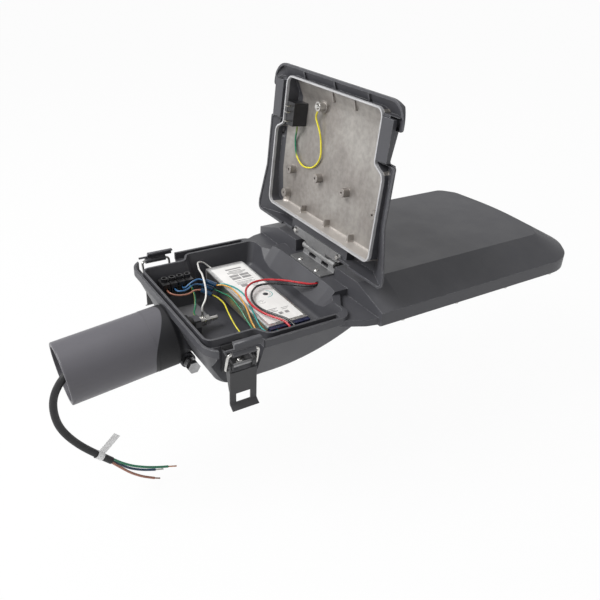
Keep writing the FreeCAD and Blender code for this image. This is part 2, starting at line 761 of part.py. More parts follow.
def chute_form():
    """The sloping mouth between the tray's floor and the hinge strip."""
    inner_x = dim.cavity_hinge_x - 40
    chute = Body("chute_form")
    chute.loft("XY", [
        (dim.strip_z + 1, both_sides([
            (inner_x, dim.narrow_half_width - 1),
            (dim.cavity_hinge_x, dim.narrow_half_width - 1, 6),
            (dim.chute_x - 3.5, dim.strip_half_width + 2, 8),
            (dim.chute_x, dim.chute_half_width, 8),
        ])),
        (dim.chute_foot_z, both_sides([
            (inner_x, dim.strip_half_width + 2),
            (dim.chute_foot_x - 2, dim.strip_half_width + 2, 6),
            (dim.chute_foot_x, dim.strip_half_width - 8, 8),
            (dim.chute_foot_x + 1, dim.chute_half_width - 6, 8),
        ])),
    ])
    return chute


def head_form():
    """The lamp head: edge band, hipped roof with a flat top, and the scoop behind the hinge."""
    roof_rise = dim.roof_z - dim.head_band_z
    roof_lean = Size(
        -math.degrees(math.atan(dim.roof_inset.amount / roof_rise.amount)),
        "-atan(%s / %s)" % (dim.roof_inset.text, roof_rise.text))
    head = Body("head_form")
    roof_start = dim.scoop_end_x - dim.roof_inset
    head.pad("XY", dim.head_band_z, [head_corners(roof_start)], roof_rise, taper=roof_lean)
    front = rectangle(roof_start - 1, -dim.head_half_width - 1, dim.scoop_end_x,
                      dim.head_half_width + 1)
    head.pocket("XY", dim.head_band_z, [front], roof_rise + 1, back=True)
    band = dim.head_band_z - dim.head_edge_z
    head.pad("XY", dim.head_edge_z, [head_corners(dim.head_start_x)], band)
    middle_x = (dim.head_start_x + dim.scoop_end_x) / 2 + 2

    def rib(half_width, top):
        return [
            (-dim.head_half_width, dim.head_band_z), (dim.head_half_width, dim.head_band_z),
            (half_width, top), (-half_width, top),
        ]

    flat_half = dim.head_half_width - dim.roof_inset
    head.loft("YZ", [
        (dim.head_start_x, rib(dim.scoop_half_width, dim.scoop_z)),
        (middle_x, rib((dim.scoop_half_width + flat_half) / 2, dim.scoop_z + 1.4)),
        (dim.scoop_end_x, rib(flat_half, dim.roof_z)),
    ], ruled=False)
    return head


def neck_form():
    """The tilted neck that holds the spigot, with its socket, tongue pocket and screw bosses."""
    neck = Body("neck_form")
    neck.turn([[
        (dim.spigot_length, 0), (dim.spigot_length, dim.neck_radius),
        (dim.neck_straight_end, dim.neck_radius), (dim.neck_taper_end, dim.neck_taper_radius),
        (dim.neck_taper_end, 0),
    ]])
    neck.pocket("YZ", dim.spigot_length, [(0, 0, dim.plug_radius + dim.socket_gap)],
                dim.plug_end - dim.spigot_length + 2 * dim.socket_gap, back=True)
    tilt(neck.body)
    tongue = tongue_form("tongue_pocket", dim.socket_gap)
    bosses = [
        rod(dim.set_screw_x, side * dim.set_screw_tip_y, dim.set_screw_z, axis,
            dim.screw_boss_radius, dim.screw_boss_y - dim.set_screw_tip_y)
        for side, axis in ((1, "+Y"), (-1, "-Y"))
    ]
    screw_holes = rod(dim.set_screw_x, -dim.set_screw_head_y, dim.set_screw_z, "+Y",
                      dim.set_screw_radius + dim.running_gap, 2 * dim.set_screw_head_y)
    return cut(fuse(neck, *bosses), tongue, screw_holes)


def tilt(thing):
    """Leans a piece with the spigot, about its mouth."""
    thing.Placement = Placement(Vector(), Rotation(Vector(0, -1, 0), dim.spigot_tilt.amount))
    bind(thing, "Placement.Rotation.Angle", dim.spigot_tilt)
    return thing


def tongue_form(label, gap):
    """The low tongue on the spigot's plug; its pocket is the same form with a gap."""
    tongue = Body(label)
    top = dim.tongue_top + gap
    radius = dim.plug_radius + gap
    tongue.pad("YZ", dim.plug_end - 2, [(0, 0, radius)], dim.tongue_end - dim.plug_end + 2 + 2 * gap)
    tongue.pocket("XZ", 0, [rectangle(dim.spigot_length, top, dim.tongue_end + 2, radius + 1)],
                  4 * radius, both=True)
    return tilt(tongue.body)


def small_screw(x, y, z, axis, grip, radius=None, height=None):
    """A pan head screw; its head stands on the point and its shank runs back from it."""
    radius = radius or dim.screw_radius
    back = axis.replace("+", "~").replace("-", "+").replace("~", "-")
    head = cone(x, y, z, axis, dim.screw_head_radius, dim.screw_head_radius * 0.7,
                height or dim.screw_head_height)
    return fuse(head, rod(x, y, z, back, radius, grip))


def frame_screw_spots():
    """Where the glass frame is screwed: along both sides, at the tip and at the hinge end."""
    side_y = dim.head_half_width - dim.frame_screw_margin
    first = dim.lamp_bay_start_x + 24
    step = (dim.head_shoulder_x - 26 - first) / 3
    spots = [(first + step * i, side * side_y) for i in range(4) for side in (-1, 1)]
    tip_x = dim.head_tip_corner_x - dim.frame_screw_margin + 5.4
    return spots + [(tip_x, side * 48) for side in (-1, 1)]


def driver_middle_x():
    return (dim.driver_start_x + dim.driver_end_x) / 2


def driver_screw_spots():
    """One screw in the ear at each end of the driver."""
    return [
        (driver_middle_x(), dim.driver_near_y - dim.ear_length / 2),
        (driver_middle_x(), dim.driver_far_y + dim.ear_length / 2),
    ]


def earth_screw_hole(gap):
    return rod(dim.earth_boss_start_x + 4, dim.earth_y, dim.earth_z, "+X",
               dim.earth_radius + gap, dim.earth_end_x - dim.earth_boss_start_x - 4)


def housing():
    """The casting: neck, tray, strip for the hinge and lamp head in one piece."""
    inner_x = dim.head_start_x + 12
    strip = box(dim.ledge_x, -dim.strip_half_width, dim.head_edge_z, inner_x,
                dim.strip_half_width, dim.strip_z)
    flange = extrude(free_sketch("XY", dim.head_edge_z, [both_sides([
        (inner_x, dim.head_half_width),
        (dim.head_start_x - 2, dim.head_half_width - 5),
        (dim.head_start_x - 15, dim.head_half_width - 8, 6),
        (dim.trough_end_x, dim.hull_half_width - 3),
        (dim.trough_end_x - 8, dim.wide_half_width - 7),
    ])]), dim.flange_top_z - dim.head_edge_z)
    body = fuse(neck_form(), hull_form(), strip, flange, head_form())

    rim = free_sketch("XY", dim.rim_z - dim.trough_depth, [cavity_corners()])
    lip = free_sketch("XY", dim.rim_z - dim.trough_depth, [both_sides([
        (dim.trough_end_x, dim.hull_half_width - dim.lip_wall),
        (dim.hull_end_x + dim.lip_wall, dim.hull_half_width - dim.lip_wall,
         dim.hull_corner - dim.lip_wall),
    ])])
    trough = cut(extrude(lip, dim.trough_depth + 1),
                 extrude(rim, dim.trough_depth + 1, grow=dim.rim_wall))

    beyond = dim.head_half_width + 12
    ledge = [
        (dim.head_start_x, dim.strip_half_width),
        (dim.head_start_x, beyond),
        (dim.trough_end_x - 10, beyond),
        (dim.trough_end_x - 10, dim.hull_half_width),
        (dim.ledge_x, dim.hull_half_width, dim.ledge_round),
        (dim.ledge_x, dim.narrow_half_width + 4, 4),
        (dim.chute_x + 1.5, dim.strip_half_width + 4, 3),
        (dim.chute_x + 3, dim.strip_half_width),
    ]
    ledge_near = [(corner[0], -corner[1]) + corner[2:] for corner in ledge]
    ledges = extrude(free_sketch("XY", dim.flange_top_z, [ledge, ledge_near]), 12)

    recesses = [
        box(dim.recess_start_x, dim.recess_half_width, -30, dim.recess_end_x, beyond,
            dim.rim_z + 1),
        box(dim.recess_start_x, -beyond, -30, dim.recess_end_x, -dim.recess_half_width,
            dim.rim_z + 1),
    ]
    hinge_pocket = box(dim.head_start_x - 1, -dim.pocket_half_width, dim.strip_z,
                       dim.pocket_end_x, dim.pocket_half_width, dim.roof_z + 1)
    bay = head_slab(dim.lamp_bay_start_x, dim.lamp_bay_margin, dim.head_edge_z,
                    dim.lamp_bay_top_z - dim.head_edge_z)
    seat_start = dim.lamp_bay_start_x - dim.lamp_bay_margin + dim.glass_seat_margin
    seat = head_slab(seat_start, dim.glass_seat_margin, dim.head_edge_z,
                     dim.glass_seat_z - dim.head_edge_z)
    leads = rod(dim.cavity_hinge_x - 6, dim.lead_y, dim.lead_z, "+X", dim.lead_hole_radius,
                dim.lamp_bay_start_x - dim.cavity_hinge_x + 8)
    cable = rod(dim.plug_end - 6, 0, dim.gland_z, "+X", dim.gland_radius + dim.running_gap, 39)
    opened = cut(body, cavity_form(), chute_form(), trough, ledges, *recesses, hinge_pocket,
                 bay, seat, leads, cable)

    under_floor = dim.tray_floor_z - dim.floor_wall / 2
    posts = [
        rod(x, y, dim.post_root_z, "+Z", dim.post_radius, dim.driver_foot_z - dim.post_root_z)
        for x, y in driver_screw_spots()
    ]
    pad = box(dim.terminal_start_x - 3, dim.pad_near_y, under_floor, dim.terminal_end_x + 3,
              dim.terminal_near_y + 1, dim.pad_top_z)
    plinth = box(dim.plinth_start_x, dim.terminal_near_y, under_floor, dim.terminal_end_x,
                 dim.terminal_far_y, dim.terminal_foot_z)
    earth_boss = box(dim.earth_boss_start_x, dim.earth_y - 7, under_floor, dim.earth_boss_end_x,
                     dim.earth_y + 7, dim.earth_z + 6)
    furnished = fuse(opened, *posts, pad, plinth, earth_boss)

    grip = dim.screw_radius + dim.running_gap
    holes = [rod(x, y, dim.driver_foot_z, "-Z", grip, 9) for x, y in driver_screw_spots()]
    holes += [rod(x, y, dim.head_edge_z, "+Z", grip, 9) for x, y in frame_screw_spots()]
    holes += [
        rod(dim.hinge_rivet_x, side * dim.hinge_rivet_y, dim.strip_z, "-Z",
            dim.hinge_rivet_radius + dim.running_gap, 6)
        for side in (-1, 1)
    ]
    holes += [
        rod(x, side * dim.recess_half_width, z, "-Y" if side > 0 else "+Y", grip, 3)
        for side in (-1, 1) for x, z in latch_rivet_spots()
    ]
    holes.append(earth_screw_hole(dim.running_gap))
    return cut(furnished, *holes)


def latch_rivet_spots():
    """Rivets of the latch base on the recess wall."""
    middle_z = (dim.latch_base_foot_z + dim.latch_base_top_z) / 2 - 8
    return [(dim.latch_x - 7, middle_z), (dim.latch_x + 7, middle_z)]


def pole_spigot():
    """The turned socket for the pole, with the plug and tongue that sit in the neck."""
    spigot = Body("spigot_turning")
    spigot.turn([[
        (0, dim.pole_bore_radius), (0, dim.spigot_radius, dim.spigot_mouth_round),
        (dim.spigot_length, dim.spigot_radius), (dim.spigot_length, dim.plug_radius),
        (dim.plug_end, dim.plug_radius), (dim.plug_end, dim.spigot_cable_radius),
        (dim.pole_bore_depth, dim.spigot_cable_radius), (dim.pole_bore_depth, dim.pole_bore_radius),
    ]])
    return fuse(tilt(spigot.body), tongue_form("spigot_tongue", 0))


def spigot_fasteners():
    """The two set screws that hold the spigot, and their locknuts."""
    screws, nuts = [], []
    for side, axis in ((1, "+Y"), (-1, "-Y")):
        x, z = dim.set_screw_x, dim.set_screw_z
        shank = rod(x, side * dim.set_screw_tip_y, z, axis, dim.set_screw_radius,
                    dim.set_screw_head_y - dim.set_screw_tip_y)
        head = hexagon(x, side * dim.set_screw_head_y, z, axis, dim.set_screw_across,
                       dim.set_screw_head)
        screws.append(fuse(shank, head))
        nut = hexagon(x, side * dim.screw_boss_y, z, axis, dim.set_screw_across,
                      dim.locknut_height)
        hole = rod(x, side * (dim.screw_boss_y - 1), z, axis,
                   dim.set_screw_radius + dim.running_gap, dim.locknut_height + 2)
        nuts.append(cut(nut, hole))
    keep("spigot_screws", group(*screws))
    keep("spigot_locknuts", group(*nuts))


# Lamp bay

def lamp_pieces():
    """Board, lenses, cover glass, its seal and the frame that holds it, from the top down."""
    bay_start = dim.lamp_bay_start_x
    board = head_slab(bay_start + 3, dim.board_margin, dim.lamp_bay_top_z - dim.board_thickness,
                      dim.board_thickness)
    keep("lamp_board", board)

    board_foot = dim.lamp_bay_top_z - dim.board_thickness
    middle_x = (bay_start + dim.head_tip_corner_x - dim.lamp_bay_margin) / 2
    lenses = []
    for column in range(int(dim.lens_columns.amount)):
        for row in range(int(dim.lens_rows.amount)):
            x = middle_x + (column - (dim.lens_columns.amount - 1) / 2) * dim.lens_pitch * 1.36
            y = (row - (dim.lens_rows.amount - 1) / 2) * dim.lens_pitch
            foot = cone(x, y, board_foot, "-Z", dim.lens_radius, dim.lens_radius * 0.62,
                        dim.lens_height)
            lenses.append(foot)
    keep("lamp_lenses", group(*lenses))

    seat_start = bay_start - dim.lamp_bay_margin + dim.glass_seat_margin
    glass_margin = dim.glass_seat_margin + dim.glass_gap
    glass = head_slab(seat_start + dim.glass_gap, glass_margin, dim.head_edge_z,
                      dim.glass_thickness)
    keep("cover_glass", glass)

    seal_foot = dim.head_edge_z + dim.glass_thickness
    seal_height = dim.glass_seat_z - seal_foot
    seal_margin = glass_margin + 0.2
    seal = cut(
        head_slab(seat_start + dim.glass_gap + 0.2, seal_margin, seal_foot, seal_height),
        head_slab(seat_start + dim.glass_gap + 0.2 + dim.seal_width, seal_margin + dim.seal_width,
                  seal_foot - 1, seal_height + 2))
    keep("glass_seal", seal)

    frame_start = seat_start - dim.glass_seat_margin + dim.frame_margin
    frame_foot = dim.head_edge_z - dim.frame_thickness
    frame = cut(
        head_slab(frame_start, dim.frame_margin, frame_foot, dim.frame_thickness),
        head_slab(frame_start + dim.frame_width, dim.frame_margin + dim.frame_width,
                  frame_foot - 1, dim.frame_thickness + 2),
        *[rod(x, y, frame_foot - 1, "+Z", dim.screw_radius + dim.running_gap,
              dim.frame_thickness + 2) for x, y in frame_screw_spots()])
    keep("glass_frame", frame)
    keep("frame_screws", group(*[
        small_screw(x, y, frame_foot, "-Z", dim.frame_thickness + 8)
        for x, y in frame_screw_spots()]))


# Hinge

def swing(thing):
    """Turns a piece of the lid from its shut place to where the lid stands open."""
    thing = solid_of(thing)
    angle = dim.open_angle
    thing.Placement = Placement(Vector(), Rotation(Vector(0, 1, 0), angle.amount))
    bind(thing, "Placement.Rotation.Angle", angle)
    bind(thing, "Placement.Base.x",
         dim.hinge_x - dim.hinge_x * cos(angle) - dim.hinge_z * sin(angle))
    bind(thing, "Placement.Base.z",
         dim.hinge_z + dim.hinge_x * sin(angle) - dim.hinge_z * cos(angle))
    return thing


def barrel(y0, y1):
    return rod(dim.hinge_x, y0, dim.hinge_z, "+Y", dim.barrel_radius, y1 - y0)


def barrel_bore():
    end = dim.barrel_half_length + 1
    return rod(dim.hinge_x, -end, dim.hinge_z, "+Y", dim.hinge_pin_radius + dim.running_gap,
               2 * end)


def lid_knuckles(gap):
    """The stretches of the barrel that belong to the lid, widened by a gap."""
    return [
        (dim.knuckle_half_length - gap, dim.knuckle_split_y + gap),
        (-dim.knuckle_split_y - gap, -dim.knuckle_half_length + gap),
    ]


def hinge():
    """Both leaves of the hinge, its pin, and the rivets and screws that hold the leaves."""
    sheet_z = dim.strip_z + dim.leaf_thickness
    tip = dim.leaf_thickness / 2
    barrel_end = dim.barrel_half_length
    tray_leaf = Body("tray_leaf_sheet")
    tray_leaf.pad("XZ", 0, [[
        (dim.tray_leaf_x, dim.strip_z), (dim.hinge_x - 1, dim.strip_z, 3),
        (dim.hinge_x + tip, dim.hinge_z - 3), (dim.hinge_x - tip, dim.hinge_z - 3),
        (dim.hinge_x - 1 - 2 * tip, sheet_z, 1), (dim.tray_leaf_x, sheet_z),
    ]], 2 * barrel_end, both=True)
    lid_spans = [
        box(dim.hinge_x - 8, y0, dim.strip_z + dim.leaf_thickness + 0.6, dim.hinge_x + 8, y1,
            dim.hinge_z + 8)
        for y0, y1 in lid_knuckles(dim.knuckle_gap)
    ]
    rivet_holes = [
        rod(dim.hinge_rivet_x, side * dim.hinge_rivet_y, dim.strip_z - 1, "+Z",
            dim.hinge_rivet_radius + dim.running_gap, 5)
        for side in (-1, 1)
    ]
    keep("hinge_tray_leaf", cut(fuse(tray_leaf, barrel(-barrel_end, barrel_end)), *lid_spans,
                                *rivet_holes, barrel_bore()))

    leaf_top = dim.lid_leaf_z + dim.leaf_thickness
    wide = extrude(free_sketch("XY", dim.lid_leaf_z, [both_sides([
        (dim.lid_leaf_x, dim.lid_leaf_half_width, 4),
        (dim.lid_leaf_wide_x, dim.lid_leaf_half_width, 5),
        (dim.lid_leaf_wide_x, dim.knuckle_split_y, 2),
        (dim.lid_leaf_wide_x + 3, dim.knuckle_split_y),
    ])]), dim.leaf_thickness)
    tongues = []
    for y0, y1 in lid_knuckles(0):
        arm = extrude(free_sketch("XZ", y0, [[
            (dim.lid_leaf_wide_x + 1, dim.lid_leaf_z), (dim.lid_leaf_wide_x + 4, dim.lid_leaf_z),
            (dim.hinge_x - 2.6, dim.hinge_z - 2.4), (dim.hinge_x - 3.6, dim.hinge_z),
            (dim.lid_leaf_wide_x + 3, leaf_top), (dim.lid_leaf_wide_x + 1, leaf_top),
        ]]), y1 - y0, plane="XZ")
        tongues += [arm, barrel(y0, y1)]
    screw_holes = [
        rod(dim.lid_screw_x, side * dim.lid_screw_y, dim.lid_leaf_z - 1, "+Z",
            dim.screw_radius + dim.running_gap, dim.leaf_thickness + 2)
        for side in (-1, 1)
    ]
    lid_leaf = cut(fuse(wide, *tongues), barrel_bore(), *screw_holes)
    keep("hinge_lid_leaf", swing(lid_leaf))
    keep("hinge_pin", rod(dim.hinge_x, -barrel_end - 0.5, dim.hinge_z, "+Y",
                          dim.hinge_pin_radius, 2 * barrel_end + 1))
    keep("hinge_rivets", group(*[
        small_screw(dim.hinge_rivet_x, side * dim.hinge_rivet_y, sheet_z, "+Z",
                    dim.leaf_thickness + 5.5, dim.hinge_rivet_radius, dim.hinge_rivet_head)
        for side in (-1, 1)]))
    keep("hinge_lid_screws", swing(group(*[
        small_screw(dim.lid_screw_x, side * dim.lid_screw_y, dim.lid_leaf_z, "-Z",
                    dim.leaf_thickness + 6)
        for side in (-1, 1)])))


# Lid, drawn shut and then swung open

def lid_outline():
    return both_sides([
        (dim.lid_rear_x, dim.lid_flare_half_width, 8),
        (dim.lid_flare_end_x, dim.lid_flare_half_width, 6),
        (dim.lid_flare_start_x, dim.lid_half_width, 20),
        (dim.lid_waist_end_x + 1.5, dim.lid_half_width, 3.2),
        (dim.lid_waist_end_x, dim.lid_waist_half_width, 3.2),
        (dim.lid_corner_end_x + 2, dim.lid_waist_half_width, 3.2),
        (dim.lid_corner_end_x, dim.lid_corner_half_width, 3.2),
        (dim.lid_end_x, dim.lid_corner_half_width, dim.lid_corner),
    ])


def on_lid_top(edge):
    box_of = edge.BoundBox
    return box_of.ZMin > dim.lid_top_z.amount - 0.01


def lid_ceiling_z():
    return dim.lid_top_z - dim.lid_wall


def lid_boss_spots():
    return [(237, 28), (237, -28), (243, 88), (243, -88), (276, 94), (276, -94)]


def lid_rib_boxes():
    """Short ribs on the inner walls at the hinge end and the spigot end."""
    ceiling = lid_ceiling_z()
    foot = ceiling - dim.lid_rib_height
    hinge_wall = dim.cavity_hinge_x
    ribs = [
        box(hinge_wall - 9, y - 1.2, foot, hinge_wall + 1, y + 1.2, ceiling + 1)
        for y in (-51, -1.5, 51)
    ]
    end_wall = dim.cavity_end_x
    ribs += [
        box(end_wall - 1, y - 1.2, foot, end_wall + 14, y + 1.2, ceiling + 1)
        for y in (-30, 12)
    ]
    ribs += [
        box(dim.lid_end_x + 1, y - 1.2, foot, end_wall - 1, y + 1.2, ceiling + 1)
        for y in (-62, 0, 62)
    ]
    return ribs


def latch_catches():
    """The solid part of the lid over each latch, with the catch that the claw grips."""
    catches = []
    inner = dim.narrow_half_width + dim.gasket_wall - 0.2
    for side in (-1, 1):
        def across(start, end):
            return (start, end) if side > 0 else (-end, -start)
        y0, y1 = across(inner, dim.lid_waist_half_width - 1)
        block = box(dim.catch_start_x - 2.5, y0, dim.lid_skirt_z, dim.catch_end_x + 2.5, y1,
                    dim.lid_top_z - 1)
        catches.append(("add", block))
        y0, y1 = across(dim.catch_wall_half_width, dim.lid_waist_half_width + 12)
        catches.append(("cut", box(dim.catch_start_x - 2, y0, dim.lid_skirt_z - 1,
                                   dim.catch_end_x + 2, y1, dim.catch_roof_z)))
        y0, y1 = across(inner + 3, dim.catch_tip_half_width)
        catches.append(("shelf", box(dim.catch_start_x, y0, dim.catch_foot_z, dim.catch_end_x,
                                     y1, dim.catch_top_z)))
    return catches


def lid():
    """The cover: a skirt and a top, an inner wall over the rim, catches, bosses and ribs."""
    height = dim.lid_top_z - dim.lid_skirt_z
    shell = Body("lid_shell")
    shell.pad("XY", dim.lid_skirt_z, [lid_outline()], height)
    shell.fillet(dim.lid_edge_round, on_lid_top)
    ceiling = lid_ceiling_z()
    inside = extrude(free_sketch("XY", dim.lid_skirt_z - 1, [lid_outline()]),
                     ceiling - dim.lid_skirt_z + 1, grow=-dim.lid_wall)
    rim = free_sketch("XY", dim.gasket_wall_z, [lid_cavity_corners()])
    wall = cut(extrude(rim, ceiling - dim.gasket_wall_z + 1, grow=dim.gasket_wall),
               extrude(rim, ceiling - dim.gasket_wall_z + 3))
    ceiling_limit = box(dim.lid_end_x, -150, dim.lid_skirt_z, dim.lid_rear_x, 150,
                        dim.lid_top_z - 1)
    parts = latch_catches()
    blocks = [part for kind, part in parts if kind == "add"]
    notches = [part for kind, part in parts if kind == "cut"]
    leaf_half = dim.lid_leaf_half_width + 0.5
    strip_half = dim.strip_half_width + 1
    notches += [
        box(dim.cavity_hinge_x + 1, -leaf_half, dim.lid_skirt_z - 1, dim.lid_rear_x + 1, leaf_half,
            dim.lid_leaf_z + dim.leaf_thickness),
        box(dim.ledge_x - 0.5, -strip_half, dim.lid_skirt_z - 1, dim.lid_rear_x + 1, strip_half,
            dim.strip_z + 0.5),
    ]
    shelves = [part for kind, part in parts if kind == "shelf"]
    bosses = [
        rod(x, y, ceiling - dim.lid_boss_height, "+Z", dim.lid_boss_radius,
            dim.lid_boss_height + 1)
        for x, y in lid_boss_spots()
    ]
    earth = rod(dim.earth_post_x, dim.earth_post_y, ceiling - 3, "+Z",
                dim.earth_post_radius + 2, 4)
    rear_bar = box(dim.cavity_hinge_x + 1, -dim.lid_leaf_half_width - 8,
                   dim.lid_leaf_z + dim.leaf_thickness, dim.lid_rear_x - 1,
                   dim.lid_leaf_half_width + 8, ceiling + 1)
    inner_parts = fuse(common(fuse(wall, *blocks), ceiling_limit), *bosses, *lid_rib_boxes(),
                       rear_bar, earth)
    cover = cut(fuse(cut(shell, inside), inner_parts), *notches)
    holes = [
        rod(dim.lid_screw_x, side * dim.lid_screw_y, dim.lid_leaf_z, "+Z",
            dim.screw_radius + dim.running_gap, dim.leaf_thickness + 7)
        for side in (-1, 1)
    ]
    holes += [
        rod(x, y, ceiling - dim.lid_boss_height - 1, "+Z", 1.5, dim.lid_boss_height - 1)
        for x, y in lid_boss_spots()
    ]
    holes.append(rod(dim.earth_post_x, dim.earth_post_y, ceiling - 4, "+Z",
                     dim.screw_radius + dim.running_gap, 4))
    keep("lid", swing(cut(fuse(cover, *shelves), *holes)))

    gasket_foot = dim.rim_z + dim.gasket_gap
    gasket_rim = free_sketch("XY", gasket_foot, [lid_cavity_corners()])
    gasket_height = dim.gasket_wall_z - gasket_foot
    keep("lid_gasket", swing(cut(
        extrude(gasket_rim, gasket_height, grow=dim.gasket_wall - dim.gasket_margin),
        extrude(gasket_rim, gasket_height + 2, grow=dim.gasket_margin))))


def lid_cavity_corners():
    """The inside of the lid's inner wall, which stands over the tray's rim."""
    return cavity_corners()


# Latches

def latch(side, name):
    """One over-centre latch; side is 1 on the +Y side and -1 on the -Y side.

    Gives back the rivets and the pin, which both latches share as sub-parts.
    """
    outward, inward = ("+Y", "-Y") if side > 0 else ("-Y", "+Y")
    left = dim.latch_x - dim.latch_base_half
    right = dim.latch_x + dim.latch_base_half
    sheet_y = dim.recess_half_width + dim.latch_sheet

    def slab(x0, y0, z0, x1, y1, z1):
        """A box between two distances from the middle of the head."""
        near, far = (y0, y1) if side > 0 else (-y1, -y0)
        return box(x0, near, z0, x1, far, z1)

    def sheet(profile, x, width):
        """A sheet part pressed to a profile across the head."""
        corners = [(side * corner[0],) + tuple(corner[1:]) for corner in profile]
        return extrude(free_sketch("YZ", x, [corners]), width, plane="YZ")

    def bore(y, z, radius, half_length):
        return rod(dim.latch_x - half_length, side * y, z, "+X", radius, 2 * half_length)

    plate = slab(left, dim.recess_half_width, dim.latch_base_foot_z, right, sheet_y,
                 dim.latch_base_top_z)
    ear_round = dim.latch_ear_radius
    ear_profile = [
        (dim.recess_half_width + 1, dim.latch_pin_z + 9),
        (dim.recess_half_width + 1, dim.latch_pin_z - 9),
        (sheet_y + 2, dim.latch_pin_z - 9, 3),
        (dim.latch_pin_y + ear_round, dim.latch_pin_z - ear_round, ear_round * 0.9),
        (dim.latch_pin_y + ear_round, dim.latch_pin_z + ear_round, ear_round * 0.9),
        (sheet_y + 2, dim.latch_pin_z + 9, 3),
    ]
    ears = [sheet(ear_profile, x, dim.latch_sheet) for x in (left, right - dim.latch_sheet)]
    rivet_holes = [
        rod(x, side * (dim.recess_half_width - 1), z, outward,
            dim.screw_radius + dim.running_gap, 6)
        for x, z in latch_rivet_spots()
    ]
    pin_hole = dim.latch_pin_radius + dim.running_gap
    keep("latch_base_" + name, cut(fuse(plate, *ears), *rivet_holes,
                                   bore(dim.latch_pin_y, dim.latch_pin_z, pin_hole, 20)))
    rivets = [small_screw(x, side * sheet_y, z, outward, dim.latch_sheet + 2.5)
              for x, z in latch_rivet_spots()]
    pin = bore(dim.latch_pin_y, dim.latch_pin_z, dim.latch_pin_radius, dim.latch_pin_half_length)

    face, gauge = dim.lever_face_y, dim.lever_sheet
    lip = dim.lever_lip_angle
    lip_out = dim.lever_lip_drop * tan(lip)
    bend = dim.lever_bend_radius
    lever_plate = sheet([
        (face, dim.lever_plate_top_z), (face, dim.lever_bend_z, bend - gauge),
        (face + lip_out, dim.lever_bend_z - dim.lever_lip_drop),
        (face + lip_out - gauge * cos(lip),
         dim.lever_bend_z - dim.lever_lip_drop - gauge * sin(lip)),
        (face - gauge, dim.lever_bend_z - gauge * tan(lip / 2), bend),
        (face - gauge, dim.lever_plate_top_z),
    ], dim.latch_x - dim.lever_half, 2 * dim.lever_half)
    cheek_top = dim.latch_pin_z + dim.latch_ear_radius
    cheek = [
        (face - gauge / 2, cheek_top - 5), (face - gauge / 2, 4), (face - gauge - 1, 4),
        (dim.bail_pin_y - 3.6, dim.bail_pin_z - 4, 3),
        (dim.bail_pin_y - 3.6, cheek_top, 3), (face - gauge / 2, cheek_top, 3.2),
    ]
    cheek_left = dim.latch_x - dim.lever_half
    cheek_right = dim.latch_x + dim.lever_half - dim.latch_sheet
    cheeks = [sheet(cheek, x, dim.latch_sheet) for x in (cheek_left, cheek_right)]
    window = slab(dim.latch_x - dim.lever_window_half, face - gauge - 3,
                  dim.lever_window_foot_z, dim.latch_x + dim.lever_window_half, face + 3,
                  dim.lever_window_top_z)
    wire_hole = dim.bail_wire_radius + dim.running_gap
    keep("latch_lever_" + name, cut(
        fuse(lever_plate, *cheeks), window,
        bore(dim.latch_pin_y, dim.latch_pin_z, pin_hole, 20),
        bore(dim.bail_pin_y, dim.bail_pin_z, wire_hole, 20)))

    keep("latch_bail_" + name, latch_bail(side))

    bar_y, bar_z = dim.bail_bar_y, dim.bail_bar_z
    knuckle = bore(bar_y, bar_z, dim.claw_knuckle_radius, dim.claw_knuckle_half)
    plate_back = bar_y - dim.claw_sheet / 2
    stem = slab(dim.latch_x - dim.claw_knuckle_half, plate_back, bar_z + 2,
                dim.latch_x + dim.claw_knuckle_half, plate_back + dim.claw_sheet,
                dim.claw_shoulder_z + 2)
    hook = sheet([
        (plate_back, dim.claw_shoulder_z), (plate_back + dim.claw_sheet, dim.claw_shoulder_z),
        (plate_back + dim.claw_sheet, dim.claw_top_z, 2.6), (dim.claw_tip_y, dim.claw_top_z),
        (dim.claw_tip_y, dim.claw_top_z - dim.claw_sheet),
        (plate_back, dim.claw_top_z - dim.claw_sheet, 0.8),
    ], dim.latch_x - dim.claw_half, 2 * dim.claw_half)
    keep("latch_claw_" + name, cut(fuse(knuckle, stem, hook),
                                   bore(bar_y, bar_z, wire_hole, dim.claw_half)))
    return rivets, pin


def latch_bail(side):
    """The bent wire between lever and claw, with both ends turned in through the lever."""
    foot_y, foot_z = side * dim.bail_pin_y.amount, dim.bail_pin_z.amount
    bar_y, bar_z = side * dim.bail_bar_y.amount, dim.bail_bar_z.amount
    half, end = dim.bail_half.amount, dim.bail_end.amount
    points = [
        (-end, foot_y, foot_z), (-half, foot_y, foot_z), (-half, bar_y, bar_z),
        (half, bar_y, bar_z), (half, foot_y, foot_z), (end, foot_y, foot_z),
    ]
    middle = dim.latch_x.amount
    bends = [dim.bail_wire_radius.amount + 0.3, dim.bail_bend.amount, dim.bail_bend.amount,
             dim.bail_wire_radius.amount + 0.3]
    return wire("bail", [(middle + x, y, z) for x, y, z in points],
                dim.bail_wire_radius.amount, bends)


# Wires

def wire_path(points, bends=None):
    """Straight runs joined by tangent arcs, each arc as large as its two runs allow."""
    spots = [Vector(*point) for point in points]
    edges, radii = [], []
    start = spots[0]
    for index in range(1, len(spots) - 1):
        here = spots[index]
        back, ahead = spots[index - 1] - here, spots[index + 1] - here
        half = back.getAngle(ahead) / 2
        if bends:
            reach = bends[index - 1] / math.tan(half)
        else:
            reach = 0.45 * min(back.Length, ahead.Length)
        radius = reach * math.tan(half)
        back.normalize()
        ahead.normalize()
        entry, leave = here + back * reach, here + ahead * reach
        waist = here + (back + ahead).normalize() * (radius / math.sin(half) - radius)
        edges.append(Part.LineSegment(start, entry).toShape())
        edges.append(Part.Arc(entry, waist, leave).toShape())
        radii.append(radius)
        start = leave
    edges.append(Part.LineSegment(start, spots[-1]).toShape())
    return Part.Wire(edges), radii


